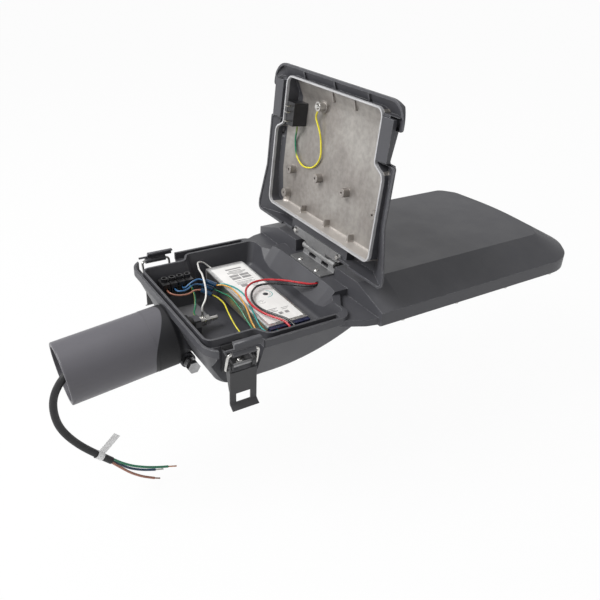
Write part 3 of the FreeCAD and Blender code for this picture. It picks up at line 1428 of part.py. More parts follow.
def wire(label, points, radius, bends=None):
    """A round wire, lead or cable along a route."""
    path, radii = wire_path(points, bends)
    first = Vector(*points[1]) - Vector(*points[0])
    ring = Part.Wire(Part.makeCircle(radius, Vector(*points[0]), first))
    shape = path.makePipeShell([ring], True, True)
    expected = math.pi * radius ** 2 * path.Length
    if abs(shape.Volume - expected) > expected * 0.01:
        raise ValueError("%s: volume %.1f, expected %.1f" % (label, shape.Volume, expected))
    print("%s: %.0f mm long, bends %s" % (
        label, path.Length, " ".join("%.1f" % bend for bend in radii)))
    thing = doc.addObject("Part::Feature", "Wire")
    thing.Shape = shape
    return thing


# Leads. Each route is chosen by hand, in millimetres, from its seat at one end to the other.

SPLICES = [
    [(186, 49, 32), (195.5, 39, 27.5)],
    [(190, 54, 36), (200, 44, 32)],
    [(193, 50, 42), (202, 39, 39)],
]
LEADS = {
    "wire_brown": ("lead", [[
        (148, 69, 33), (148, 55.5, 33), (155, 49.5, 31.5), (168, 47, 31), (178, 50.5, 33),
        (186.4, 48.6, 31.8),
    ]]),
    "wire_blue": ("lead", [[
        (158, 69, 33), (158, 56, 33), (168, 53, 33.5), (180, 58, 37.5), (190.4, 53.6, 35.8),
    ], [
        (168, 69, 33), (168, 59, 33), (177, 57, 41), (186, 56.5, 44), (193.4, 49.6, 41.9),
    ]]),
    "wire_earth": ("lead", [[
        (178, 69, 33), (178, 58, 33), (177, 47, 25), (172.5, 38, 17), (167, 31, 13),
        (167, 23.2, 13),
    ]]),
    "wire_white": ("lead", [[
        (222, 86.2, 32), (222, 97, 32), (212, 101, 42), (202, 95, 46), (195, 74, 46),
        (192.5, 60, 48), (187, 41, 46), (182, 25, 42), (175, 13, 38), (169.4, 10, 32.5),
        (169.4, 10, 26.2),
    ]]),
    "wire_yellow": ("thin", [[
        (195.2, 39.4, 27.7), (200.5, 33.5, 25), (203, 21, 23), (200, 1, 17), (200.5, -20, 7),
        (202.5, -44, 5), (203.5, -68, 11), (207, -89, 20), (213, -95, 25), (217, -92, 27),
        (217, -82.2, 27),
    ]]),
    "wire_green": ("thin", [[
        (199.7, 44.3, 32.1), (204, 40, 30.4), (204.5, 27, 33), (205.5, 8, 37.5),
        (205.5, -14, 34), (205.5, -38, 24), (205, -64, 20), (205.5, -84, 22),
        (209, -92, 24.5), (213.5, -92.5, 28.5), (213.5, -82.2, 28.5),
    ]]),
    "wire_orange": ("thin", [[
        (200.9, 38.6, 39.4), (207, 31.5, 42), (211.5, 18, 43), (211.5, -2, 42.6),
        (207.5, -28, 41), (203.5, -48, 32), (203, -68, 26), (208, -89, 30), (216, -97, 33),
        (222, -93, 33), (222, -82.2, 33),
    ]]),
    "wire_teal": ("thin", [[
        (202.3, 40.2, 38.8), (210, 34, 41.7), (217, 18, 42.3), (219, -2, 41.6),
        (212, -30, 41.6), (206, -52, 41), (204.5, -66, 35), (205.5, -84, 36),
        (210, -93.5, 36.5), (217.5, -92.5, 36), (217.5, -82.2, 36),
    ]]),
    "wire_red": ("lamp", [[
        (325, -34.5, 52), (295, -34.5, 52), (285, -26, 52), (271.5, -9.5, 51.5), (254, 6, 50),
        (237, 10, 49), (222, 1, 48), (212.5, -18, 47), (210.5, -38, 46), (213.5, -57, 46),
        (220.5, -72, 46), (226, -82, 46), (228, -94, 43), (228, -95, 31), (228, -82.2, 31),
    ]]),
    "wire_black": ("lamp", [[
        (325, -37.5, 52), (295, -37.5, 52), (286.5, -31.5, 50.5), (274, -16, 48.5),
        (257, -2, 47.5), (240, 4, 46.5), (226.5, -5.5, 45.5), (217.5, -22, 45),
        (215.5, -39, 45), (219, -55, 45), (227, -69, 45), (232.5, -80, 45), (234, -94, 42.5),
        (234, -95, 31.5), (234, -82.2, 31.5),
    ]]),
}
LID_LEAD = [
    (157.9, 40.3, 69), (167, 46.4, 70.5), (186, 35, 73.5), (213, 29, 74), (229, 43, 74),
    (234, 66, 74), (225, 83, 73.5), (205, 88, 72.5), (193, 83, 70), (185.2, 83, 70),
]
CABLE = [
    (142, 0, 21), (117, 0, 21), (96, -4.5, 18), (74, -9, 18.5), (52, -11, 21),
    (30, -11, 19.5), (11, -11, 11.5), (-4, -10.5, -2), (-13.5, -10, -20), (-15.5, -10, -41),
    (-11.5, -10, -63), (0.5, -10, -86), (18, -10, -109), (38.5, -10, -131),
]
CORES = {
    "core_brown": [
        (38.1, -12, -132.2), (47, -13, -143), (58.5, -13.5, -157), (72, -14, -169),
        (86.5, -14.5, -178),
    ],
    "core_blue": [
        (38.1, -8, -132.2), (48, -7.5, -143.5), (60, -7, -156), (75, -7, -165.5),
        (90.7, -7.5, -172),
    ],
    "core_green": [
        (40.6, -10, -129.8), (50, -10, -140), (63, -10, -151), (79, -10.5, -160),
        (94, -11, -166.5), (106, -11.5, -170.5),
    ],
}
CORE_TIPS = [
    [(86.8, -14.5, -178.2), (93.5, -14.7, -181.6)],
    [(91, -7.5, -172.1), (101, -7.8, -175.4)],
    [(106.3, -11.5, -170.6), (117, -12, -174.4)],
]


def leads():
    """The splices, the leads in the tray and the lid, and the supply cable with its cores."""
    radii = {
        "lead": dim.lead_radius.amount, "thin": dim.thin_lead_radius.amount,
        "lamp": dim.lamp_lead_radius.amount,
    }
    keep("wire_splices", group(*[splice(*route) for route in SPLICES]))
    for label, (kind, routes) in LEADS.items():
        keep(label, group(*[wire(label, route, radii[kind]) for route in routes]))
    keep("lid_earth_wire", swing(wire("lid_earth_wire", LID_LEAD, radii["lead"])))
    keep("supply_cable", wire("supply_cable", CABLE, dim.cable_radius.amount))
    core_radius = dim.core_radius.amount
    for label, route in CORES.items():
        keep(label, wire(label, route, core_radius))
    keep("core_ends", group(*[
        wire("core end", route, core_radius * 0.6) for route in CORE_TIPS]))
    keep("cable_tag", cable_tag())


def splice(start, end):
    """A straight sleeve with a blind mouth at each end for the leads that meet in it."""
    first, last = Vector(*start), Vector(*end)
    along = last - first
    mouth = dim.splice_mouth_depth.amount
    sleeve = Part.makeCylinder(dim.splice_radius.amount, along.Length, first, along)
    mouths = [
        Part.makeCylinder(dim.splice_mouth_radius.amount, mouth, first, along),
        Part.makeCylinder(dim.splice_mouth_radius.amount, mouth, last, -along),
    ]
    thing = doc.addObject("Part::Feature", "Splice")
    thing.Shape = sleeve.cut(mouths)
    return thing


def cable_tag():
    """A bare paper tag wrapped once round the cable near its end, with its flag standing off."""
    before, end = Vector(*CABLE[-2]), Vector(*CABLE[-1])
    along = (end - before).normalize()
    across = Vector(0, -1, 0).cross(along)
    middle = end - along * dim.tag_from_end.amount
    radius = dim.cable_radius.amount
    width = dim.tag_width.amount
    start = middle - along * (width / 2)
    radius = radius + dim.tag_gap.amount
    sleeve = Part.makeCylinder(radius + dim.tag_thickness.amount, width, start, along)
    bore = Part.makeCylinder(radius, width, start, along)
    flag = Part.makeBox(dim.tag_length.amount, dim.tag_thickness.amount, width)
    flag.Placement = Placement(start + across * radius,
                               Rotation(across, along.cross(across), along, "ZXY"))
    thing = doc.addObject("Part::Feature", "Tag")
    thing.Shape = sleeve.fuse(flag).cut(bore)
    return thing


# Gear in the tray

def driver():
    """The driver: case with screw ears, sunk end caps, a bare pale label and two screws."""
    x0, x1 = dim.driver_start_x, dim.driver_end_x
    y0, y1 = dim.driver_near_y, dim.driver_far_y
    foot, top = dim.driver_foot_z, dim.driver_top_z
    ear_half = 7
    cap = dim.end_cap_length
    case = Body("driver_case_form")
    case.pad("XZ", y0 + cap, [rectangle(x0, foot, x1, top, dim.driver_round)], y1 - y0 - 2 * cap,
             back=True)
    middle = driver_middle_x()
    ears = []
    for edge_y, outer_y in ((y0 + cap + 1, y0 - dim.ear_length), (y1 - cap - 1, y1 + dim.ear_length)):
        near, far = (outer_y, edge_y) if outer_y.amount < edge_y.amount else (edge_y, outer_y)
        ears.append(box(middle - ear_half, near, foot, middle + ear_half, far,
                        foot + dim.ear_thickness))
    holes = [rod(x, y, foot - 1, "+Z", dim.screw_radius + dim.running_gap, dim.ear_thickness + 2)
             for x, y in driver_screw_spots()]
    keep("driver_case", cut(fuse(case, *ears), *holes))
    drop = dim.end_cap_drop
    cap_foot = foot + dim.ear_thickness
    keep("driver_end_caps", group(
        box(x0 + drop, y0, cap_foot, x1 - drop, y0 + cap, top - drop),
        box(x0 + drop, y1 - cap, cap_foot, x1 - drop, y1, top - drop)))
    rim = dim.label_margin + dim.driver_round
    keep("driver_label", box(x0 + rim, y0 + cap + rim, top, x1 - rim, y1 - cap - rim,
                             top + dim.label_thickness))
    keep("driver_screws", group(*[
        small_screw(x, y, foot + dim.ear_thickness, "+Z", dim.ear_thickness + 7)
        for x, y in driver_screw_spots()]))


def terminal_block():
    """A row of poles with round wire mouths on both sides and screws from above."""
    x0, x1 = dim.terminal_start_x, dim.terminal_end_x
    y0, y1 = dim.terminal_near_y, dim.terminal_far_y
    foot, top = dim.terminal_foot_z, dim.terminal_top_z
    poles = int(dim.terminal_poles.amount)
    pitch = (x1 - x0) / dim.terminal_poles
    middle_y = (y0 + y1) / 2
    collars = []
    holes = []
    contacts = []
    for pole in range(poles):
        x = x0 + pitch * (pole + 0.5)
        collars.append(rod(x, middle_y, top - 1, "+Z", pitch * 0.4, 6))
        holes.append(rod(x, middle_y, top - 6, "+Z", pitch * 0.26, 13))
        for y, axis in ((y0, "+Y"), (y1, "-Y")):
            holes.append(rod(x, y, foot + dim.terminal_mouth_rise, axis, pitch * 0.27,
                             dim.terminal_mouth_depth))
        contacts.append(rod(x, middle_y, top - 6, "+Z", pitch * 0.25, 4))
    base = box(x0, y0, foot, x1, y1, top)
    slots = [
        box(x0 + pitch * pole - 0.6, y0 - 1, foot + 5, x0 + pitch * pole + 0.6, y1 + 1, top + 1)
        for pole in range(1, poles)
    ]
    keep("terminal_block", cut(fuse(base, *collars), *holes, *slots))
    keep("terminal_screws", group(*contacts))


def tray_fittings():
    """Cable gland in the end wall, earth bolt with its washers and nut, and the lead grommet."""
    wall_x = dim.hull_end_x
    start = dim.plug_end + 2
    flange_x = 137.6
    z = dim.gland_z
    gland = cut(
        fuse(rod(start, 0, z, "+X", dim.gland_radius, flange_x - start + 1),
             hexagon(flange_x + 2, 0, z, "+X", dim.gland_flange_radius, 6),
             cone(flange_x + 8, 0, z, "+X", dim.gland_radius + 1, dim.gland_bore + 1.2, 7),
             rod(flange_x, 0, z, "+X", dim.gland_radius, 3)),
        rod(start - 1, 0, z, "+X", dim.gland_bore, 40))
    keep("cable_gland", gland)

    seat = dim.earth_boss_end_x
    y, z = dim.earth_y, dim.earth_z
    bolt = rod(dim.earth_boss_start_x + 4, y, z, "+X", dim.earth_radius,
               dim.earth_end_x - dim.earth_boss_start_x - 4)
    keep("earth_bolt", bolt)
    rings = []
    for offset, radius, length in ((0, 6.2, 1.6), (2.4, 6.2, 1.6), (4.8, 6.2, 1.6)):
        rings.append(rod(seat + offset, y, z, "+X", radius, length))
    nut = hexagon(seat + 7.2, y, z, "+X", 6.4, 5)
    stack = [cut(ring, earth_screw_hole(dim.running_gap)) for ring in rings + [nut]]
    half = dim.lug_width / 2
    tongues = [
        box(seat + 1.6, y, z - half, seat + 2.4, y + dim.lug_reach, z + half),
        box(seat + 4.0, y - half, z, seat + 4.8, y + half, z + dim.lug_reach),
    ]
    lug_bodies = [
        fuse(rod(seat + offset, y, z, "+X", 5.4, 0.8), tongue)
        for offset, tongue in zip((1.6, 4.0), tongues)
    ]
    lugs = [cut(ring, earth_screw_hole(dim.running_gap)) for ring in lug_bodies]
    keep("earth_washers", group(*stack))
    keep("earth_lugs", group(*lugs))

    sleeve = dim.lamp_bay_start_x - dim.grommet_start_x
    grommet = cut(
        rod(dim.grommet_start_x, dim.lead_y, dim.lead_z, "+X", dim.lead_hole_radius, sleeve),
        rod(dim.grommet_start_x - 1, dim.lead_y, dim.lead_z, "+X", dim.grommet_bore, sleeve + 2))
    keep("lead_grommet", grommet)


# Gear in the lid

def lid_fittings():
    """Door switch with its push rod, and the earth post with its screw."""
    ceiling = lid_ceiling_z()
    x0 = dim.switch_x - dim.switch_length / 2
    y0 = dim.switch_y - dim.switch_width / 2
    foot = ceiling - dim.switch_height
    switch = Body("switch_form")
    switch.pad("XY", foot, [rectangle(x0, y0, x0 + dim.switch_length, y0 + dim.switch_width, 1.2)],
               dim.switch_height)
    keep("door_switch", swing(switch))
    blades = [
        box(x0 + offset, dim.switch_y - 3.2, foot - 7, x0 + offset + 0.8, dim.switch_y + 3.2, foot)
        for offset in (4, 11, 22)
    ]
    keep("switch_blades", swing(group(*blades)))
    post_foot = ceiling - 3 - dim.earth_post_height
    post = rod(dim.earth_post_x, dim.earth_post_y, post_foot, "+Z", dim.earth_post_radius,
               dim.earth_post_height)
    hole = rod(dim.earth_post_x, dim.earth_post_y, post_foot - 1, "+Z",
               dim.screw_radius + dim.running_gap, dim.earth_post_height + 2)
    keep("lid_earth_post", swing(cut(post, hole)))
    keep("lid_earth_screw", swing(small_screw(dim.earth_post_x, dim.earth_post_y, post_foot, "-Z",
                                              dim.earth_post_height + 2.5)))


def finish():
    """Checks every object and writes each sub-part to its own file."""
    doc.recompute()
    broken = [thing.Label for thing in doc.Objects
              if "Invalid" in thing.State or "Error" in thing.State]
    if broken:
        raise RuntimeError("failed objects: " + ", ".join(broken))
    for label, thing in pieces.items():
        if thing.Shape.isNull() or not thing.Shape.isValid() or not thing.Shape.Solids:
            raise RuntimeError("bad shape: " + label)
    os.makedirs("parts", exist_ok=True)
    for label, thing in pieces.items():
        thing.Shape.exportStep("parts/%s.step" % label)
    print("%d sub-parts written" % len(pieces))


keep("housing", housing())
keep("pole_spigot", pole_spigot())
spigot_fasteners()
lamp_pieces()
hinge()
lid()
near_rivets, near_pin = latch(-1, "near")
far_rivets, far_pin = latch(1, "far")
keep("latch_rivets", group(*near_rivets, *far_rivets))
keep("latch_pins", group(near_pin, far_pin))
driver()
terminal_block()
tray_fittings()
lid_fittings()
leads()
finish()
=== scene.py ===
"""Finishes, supply cable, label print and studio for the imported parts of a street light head."""

import json
import math

import bmesh
import bpy
from bpy.props import FloatProperty, FloatVectorProperty, PointerProperty
from bpy.types import Operator, Panel, PropertyGroup
from mathutils import Matrix, Vector


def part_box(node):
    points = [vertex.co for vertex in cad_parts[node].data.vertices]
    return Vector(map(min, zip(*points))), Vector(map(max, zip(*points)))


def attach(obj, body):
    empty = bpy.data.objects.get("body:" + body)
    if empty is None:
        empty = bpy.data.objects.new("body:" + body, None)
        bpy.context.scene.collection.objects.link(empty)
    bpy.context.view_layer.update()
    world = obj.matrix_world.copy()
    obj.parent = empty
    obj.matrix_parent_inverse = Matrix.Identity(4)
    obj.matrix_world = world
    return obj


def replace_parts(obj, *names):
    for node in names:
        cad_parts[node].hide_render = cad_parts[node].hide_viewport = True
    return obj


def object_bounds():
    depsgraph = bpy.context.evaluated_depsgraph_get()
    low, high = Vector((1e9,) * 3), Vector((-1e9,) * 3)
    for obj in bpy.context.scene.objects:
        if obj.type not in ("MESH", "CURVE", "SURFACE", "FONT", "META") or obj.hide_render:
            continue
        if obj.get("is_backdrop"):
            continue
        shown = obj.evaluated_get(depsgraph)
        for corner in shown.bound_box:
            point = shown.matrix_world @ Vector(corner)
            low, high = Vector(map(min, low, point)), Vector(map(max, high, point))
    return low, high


bl_info = {
    "name": "Street Light Head",
    "version": (1, 0, 0),
    "blender": (4, 5, 0),
    "location": "3D View > Sidebar > Light Head",
    "description": "Finishes, supply cable, label print and studio for a street light head",
    "category": "Object",
}

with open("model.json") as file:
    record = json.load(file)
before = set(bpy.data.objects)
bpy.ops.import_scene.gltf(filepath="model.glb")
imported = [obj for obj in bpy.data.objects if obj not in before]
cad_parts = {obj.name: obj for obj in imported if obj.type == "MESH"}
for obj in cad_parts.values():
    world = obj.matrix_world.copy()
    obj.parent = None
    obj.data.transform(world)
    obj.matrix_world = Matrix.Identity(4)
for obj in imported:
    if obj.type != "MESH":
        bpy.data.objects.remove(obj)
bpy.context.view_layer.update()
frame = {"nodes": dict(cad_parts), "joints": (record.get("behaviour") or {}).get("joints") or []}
NODES = frame["nodes"]
MM = 0.001


# Values that a user would change

def colour(name, note, default):
    """A colour property with its default."""
    return FloatVectorProperty(name=name, description=note, subtype="COLOR", size=3, min=0,
                               max=1, default=default)


def length(name, note, default):
    """A length property with its default in metres."""
    return FloatProperty(name=name, description=note, unit="LENGTH", min=0, default=default)


def share(name, note, default):
    """A property from nothing to all."""
    return FloatProperty(name=name, description=note, subtype="FACTOR", min=0, max=1,
                         default=default)


def level(name, note, default):
    """A plain value from nothing up."""
    return FloatProperty(name=name, description=note, min=0, default=default)


class LightHeadPaint(PropertyGroup):
    """Paint and bare metal of the castings."""

    body: colour("Casting paint", "Powder coat of the housing and the lid", (0.064, 0.0645, 0.0725))
    spigot: colour("Spigot paint", "Powder coat of the pole spigot", (0.112, 0.109, 0.122))
    latch: colour("Latch paint", "Paint of the latch plates", (0.045, 0.045, 0.048))
    bare: colour("Bare casting", "Unpainted inside of the lid", (0.42, 0.40, 0.375))
    # Painted light: a paler colour on the lid's inner wall at the hinge, where light falls on it
    rubbed_and_lit: colour("Rubbed casting", "Bare wall at the lid's hinge", (0.62, 0.59, 0.56))
    # Partly worn paint and partly painted highlight along the edges; also laid on the pads' tops as
    # painted light
    worn_and_highlit: colour("Worn and highlit edge", "Colour where the paint is thin on edges", (0.34, 0.34, 0.35))
    grain: length("Grain", "Size of the powder coat's grain", 0.0011)
    roughness: share("Roughness", "Roughness of the powder coat", 0.46)


class LightHeadMetal(PropertyGroup):
    """Bright metals and their parts."""

    steel: colour("Stainless", "Screws, bails and hinge pin", (0.62, 0.61, 0.59))
    zinc: colour("Sheet zinc", "Driver case", (0.66, 0.66, 0.65))
    dark: colour("Dark steel", "Latch pins and the hinge's sheet", (0.34, 0.34, 0.345))
    brass: colour("Brass", "Terminal screws and switch blades", (0.60, 0.43, 0.17))
    copper: colour("Copper", "Bare strands", (0.55, 0.27, 0.15))
    tin: colour("Tinned strands", "Tinned strands of one core", (0.55, 0.54, 0.51))


class LightHeadPlastic(PropertyGroup):
    """Plastics, rubber and print."""

    black: colour("Black plastic", "Terminal block, gland and switch", (0.018, 0.018, 0.020))
    cap: colour("Driver caps", "End caps of the driver", (0.010, 0.014, 0.055))
    label: colour("Label", "Film of the driver label", (0.86, 0.845, 0.825))
    print_dark: colour("Dark print", "Darkest print on the label", (0.035, 0.035, 0.040))
    print_grey: colour("Grey print", "Grey print on the label", (0.30, 0.29, 0.29))
    print_teal: colour("Teal print", "Ring round the black dot", (0.05, 0.32, 0.32))
    gasket: colour("Lid gasket", "Silicone strip in the lid", (0.47, 0.47, 0.48))
    seal: colour("Glass seal", "Rubber round the cover glass", (0.022, 0.022, 0.024))
    tag: colour("Cable tag", "Film wrapped round the cable", (0.80, 0.80, 0.80))


class LightHeadLeads(PropertyGroup):
    """Colours of the leads and the supply cable's size."""

    brown: colour("Brown", "Live lead", (0.40, 0.175, 0.12))
    blue: colour("Blue", "Neutral lead", (0.045, 0.14, 0.30))
    green: colour("Green", "Green lead", (0.020, 0.205, 0.105))
    white: colour("White", "White lead", (0.80, 0.79, 0.76))
    yellow: colour("Yellow", "Yellow lead", (0.76, 0.66, 0.03))
    orange: colour("Orange", "Orange lead", (0.72, 0.36, 0.06))
    teal: colour("Teal", "Teal lead", (0.025, 0.30, 0.28))
    red: colour("Red", "Red lamp lead", (0.53, 0.018, 0.028))
    black: colour("Black", "Black lamp lead", (0.014, 0.014, 0.016))
    splice: colour("Splices", "Sleeves of the crimped splices", (0.008, 0.045, 0.105))
    sheath: colour("Cable sheath", "Rubber of the supply cable", (0.016, 0.016, 0.018))
    cable: length("Cable diameter", "Diameter of the supply cable", 0.0085)


class LightHeadLamp(PropertyGroup):
    """Lamp board and its cover."""

    board: colour("Board", "White solder mask", (0.78, 0.78, 0.76))
    phosphor: colour("Phosphor", "Yellow faces of the emitters", (0.85, 0.60, 0.10))
    emitter: length("Emitter", "Side of one emitter", 0.0034)


class LightHeadStudio(PropertyGroup):
    """Lamps and floor."""

    floor: colour("Floor", "Colour of the floor", (0.86, 0.86, 0.86))
    drop: length("Floor drop", "From the lowest point down to the floor", 0.006)
    key: level("Key lamp", "Power of the key lamp in watts", 21)
    rim: level("Rim lamp", "Power of the lamp at the back in watts", 5)
    sky: level("Sky", "Strength of the even light", 0.50)


# Nodes

def put(tree, kind, inputs=None, **settings):
    """A shader node with its settings; an input is a value, or a socket to link from."""
    node = tree.nodes.new(kind)
    for name, value in settings.items():
        setattr(node, name, value)
    for name, value in (inputs or {}).items():
        if isinstance(value, bpy.types.NodeSocket):
            tree.links.new(value, node.inputs[name])
        else:
            node.inputs[name].default_value = value
    return node


def sums(tree, operation, *values, clamp=False):
    """The output of a Math node."""
    return put(tree, "ShaderNodeMath", dict(enumerate(values)), operation=operation,
               use_clamp=clamp).outputs[0]


def fold(tree, operation, result, *others):
    """One Math operation over two or more values."""
    for other in others:
        result = sums(tree, operation, result, other)
    return result


def times(tree, *values):
    """The product of two or more values."""
    return fold(tree, "MULTIPLY", *values)


def vectors(tree, operation, *values):
    """The output of a Vector Math node."""
    node = put(tree, "ShaderNodeVectorMath", dict(enumerate(values)), operation=operation)
    return node.outputs["Value" if operation == "DOT_PRODUCT" else "Vector"]


def xyz(tree, vector):
    """The three values of a vector."""
    return put(tree, "ShaderNodeSeparateXYZ", {0: vector}).outputs


def ramp(tree, value, low, high, to_low=0.0, to_high=1.0):
    """A value spread smoothly from one range to another."""
    return put(tree, "ShaderNodeMapRange", {
        "Value": value, "From Min": low, "From Max": high, "To Min": to_low,
        "To Max": to_high}, interpolation_type="SMOOTHSTEP").outputs[0]


def blend(tree, factor, first, second, kind="MIX"):
    """The colour between two colours."""
    return put(tree, "ShaderNodeMix", {0: factor, 6: first, 7: second}, data_type="RGBA",
               blend_type=kind).outputs[2]


def noise(tree, place, scale, detail=2.0, roughness=0.5, stretch=None):
    """A noise value over a place in millimetres; stretch scales its three axes."""
    if stretch:
        place = vectors(tree, "MULTIPLY", place, stretch)
    return put(tree, "ShaderNodeTexNoise", {
        "Vector": place, "Scale": scale, "Detail": detail,
        "Roughness": roughness}).outputs[0]


def place_mm(tree):
    """The piece's own coordinates in millimetres, which move with it."""
    spot = put(tree, "ShaderNodeTexCoord").outputs["Object"]
    return vectors(tree, "MULTIPLY", spot, (1 / MM, 1 / MM, 1 / MM))


def facing(tree):
    """Where a face looks, in the piece's own directions."""
    return put(tree, "ShaderNodeTexCoord").outputs["Normal"]


# Effects that materials share

EFFECTS = {}


def effect(name, gives, **takes):
    """Keeps a function as the maker of a node group with these outputs and input defaults."""
    def keep(fill):
        """Keeps the maker under the group's name."""
        def build():
            """Makes the group with its sockets and what the function puts in it."""
            tree = bpy.data.node_groups.new(name, "ShaderNodeTree")
            for label, default in takes.items():
                kind = "Float" if isinstance(default, float) else "Vector"
                socket = tree.interface.new_socket(label, in_out="INPUT",
                                                   socket_type="NodeSocket" + kind)
                socket.default_value = default
            for label in gives:
                kind = "Vector" if label == "Normal" else "Float"
                tree.interface.new_socket(label, in_out="OUTPUT", socket_type="NodeSocket" + kind)
            results = fill(tree, put(tree, "NodeGroupInput").outputs)
            put(tree, "NodeGroupOutput", dict(zip(gives, results)))
            return tree
        EFFECTS[name] = build
        return fill
    return keep


def use(tree, name, **values):
    """A shared effect in a material, with its own values; gives back its outputs."""
    group = bpy.data.node_groups.get(name) or EFFECTS[name]()
    return put(tree, "ShaderNodeGroup", values, node_tree=group).outputs


@effect("Powder coat", ("Shade", "Sheen", "Height"), Grain=1.1, Drift=0.12)
def powder_coat(tree, take):
    """Fine pebbled skin of powder paint, with a slow drift in its shade."""
    place = place_mm(tree)
    pitch = sums(tree, "DIVIDE", 1.0, take["Grain"])
    pebbles = noise(tree, place, pitch)
    sparkle = noise(tree, place, times(tree, pitch, 2.7), 1.0)
    drift = ramp(tree, noise(tree, place, 0.021, 3.0, 0.6), 0.3, 0.7, -1.0, 1.0)
    turn = sums(tree, "ADD", drift, ramp(tree, sparkle, 0.35, 0.65, -0.35, 0.35))
    shade = sums(tree, "MULTIPLY_ADD", turn, take["Drift"], 1.0)
    return shade, times(tree, turn, 0.05), pebbles


@effect("Worn and highlit edge", ("Mask", "Normal"), Width=0.0008, Wear=0.5)
def worn_and_highlit_edge(tree, take):
    """Rounds the edges' shading, and finds the edges to pale: partly where handling has thinned the
    paint on them, partly painted highlight.
    """
    rounded = put(tree, "ShaderNodeBevel", {"Radius": take["Width"]}, samples=6).outputs[0]
    plain = put(tree, "ShaderNodeNewGeometry").outputs["Normal"]
    edge = ramp(tree, vectors(tree, "DOT_PRODUCT", rounded, plain), 0.995, 0.90)
    place = place_mm(tree)
    patches = ramp(tree, noise(tree, place, 0.11, 3.0, 0.6), 0.36, 0.62)
    nicks = ramp(tree, noise(tree, place, 0.9), 0.40, 0.60)
    broken = times(tree, patches, sums(tree, "MULTIPLY_ADD", nicks, 0.6, 0.4))
    return times(tree, edge, broken, take["Wear"]), rounded


@effect("Settled dust", ("Mask",), Amount=0.3)
def settled_dust(tree, take):
    """Thin pale dust on the faces that look up, thicker in patches."""
    level = ramp(tree, xyz(tree, facing(tree))["Z"], 0.35, 1.0)
    place = place_mm(tree)
    patches = ramp(tree, noise(tree, place, 0.035, 4.0, 0.6), 0.32, 0.70)
    specks = ramp(tree, noise(tree, place, 1.6, 1.0), 0.50, 0.72)
    film = sums(tree, "MULTIPLY_ADD", specks, 0.35, times(tree, patches, 0.65))
    return (times(tree, film, level, take["Amount"]),)


@effect("Drawn metal", ("Shade", "Sheen", "Height"), Stretch=(1.0, 1.0, 1.0), Fineness=2.2)
def drawn_metal(tree, take):
    """Fine lines that rolling or turning leaves in metal, along the axis with the low stretch."""
    place = place_mm(tree)
    lines = noise(tree, place, take["Fineness"], 3.0, 0.6, stretch=take["Stretch"])
    stains = noise(tree, place, 0.16, 3.0, 0.6)
    shade, sheen = (
        sums(tree, "ADD", ramp(tree, lines, 0.3, 0.7, -swing, swing),
             ramp(tree, stains, 0.3, 0.7, *stained))
        for swing, stained in ((0.08, (0.90, 1.06)), (0.07, (0.06, -0.04))))
    return shade, sheen, lines


@effect("Moulded skin", ("Shade", "Sheen", "Height"), Grain=0.4, Flow=0.08)
def moulded_skin(tree, take):
    """Matt spark texture of moulded plastic or rubber, with faint flow marks."""
    place = place_mm(tree)
    pits = noise(tree, place, sums(tree, "DIVIDE", 1.0, take["Grain"]))
    flow = noise(tree, place, 0.12, 3.0, 0.55, stretch=(1.0, 0.35, 1.0))
    turn = ramp(tree, flow, 0.3, 0.7, -1.0, 1.0)
    shade = sums(tree, "MULTIPLY_ADD", turn, take["Flow"], 1.0)
    return shade, times(tree, turn, 0.06), pits


@effect("Side stripe", ("Mask",), Direction=(0.0, 0.0, 1.0), Start=0.2)
def side_stripe(tree, take):
    """A stripe down one side of a lead, where its skin looks along a direction."""
    along = vectors(tree, "DOT_PRODUCT", facing(tree), take["Direction"])
    return (ramp(tree, along, take["Start"], sums(tree, "ADD", take["Start"], 0.06)),)


@effect("Region", ("Mask",), Middle=(0.0, 0.0, 0.0), Half=(10.0, 10.0, 10.0), Border=0.5)
def region(tree, take):
    """1 inside a box given in millimetres, falling to 0 over a soft border."""
    away = vectors(tree, "SUBTRACT", place_mm(tree), take["Middle"])
    depth = vectors(tree, "SUBTRACT", take["Half"], vectors(tree, "ABSOLUTE", away))
    nearest = fold(tree, "MINIMUM", *xyz(tree, depth))
    return (ramp(tree, nearest, 0.0, take["Border"]),)


# The spigot's end is straight up to NECK_CURVE_FOOT mm below its middle and curves away above
NECK_CURVE_FOOT = 10.0
NECK_CURVE = 0.0115
NECK_END = (131.0, 125.0)


@effect("Neck painted shadow", ("Mask", "Collar"), Tilt=math.radians(6.5), Start=93.0, Reach=37.0)
def painted_neck_shadow(tree, take):
    """Painted shadow on the neck between the spigot's curved end and the tray's wall, under the
    tray's overhang.
    """
    x, y, z = xyz(tree, place_mm(tree))
    sine = sums(tree, "SINE", take["Tilt"])
    cosine = sums(tree, "COSINE", take["Tilt"])
    along = sums(tree, "MULTIPLY_ADD", x, cosine, times(tree, z, sine))
    above = sums(tree, "SUBTRACT", times(tree, z, cosine), times(tree, x, sine))
    lift = sums(tree, "MAXIMUM", sums(tree, "ADD", above, NECK_CURVE_FOOT), 0.0)
    curve = sums(tree, "MULTIPLY_ADD", times(tree, lift, lift), NECK_CURVE, take["Start"])
    past = ramp(tree, sums(tree, "SUBTRACT", along, curve), 0.0, 0.8)
    away = sums(tree, "SQRT", sums(tree, "MULTIPLY_ADD", y, y, times(tree, above, above)))
    near = ramp(tree, sums(tree, "SUBTRACT", take["Reach"], away), 0.0, 0.6)
    mask = times(tree, past, near, ramp(tree, along, *NECK_END))
    return mask, times(tree, near, sums(tree, "SUBTRACT", 1.0, past))


# Finishes

PAINT_DUST = (0.42, 0.40, 0.38)
PLASTIC_DUST = (0.40, 0.39, 0.37)
LEAD_SCUFF = (0.45, 0.43, 0.41)
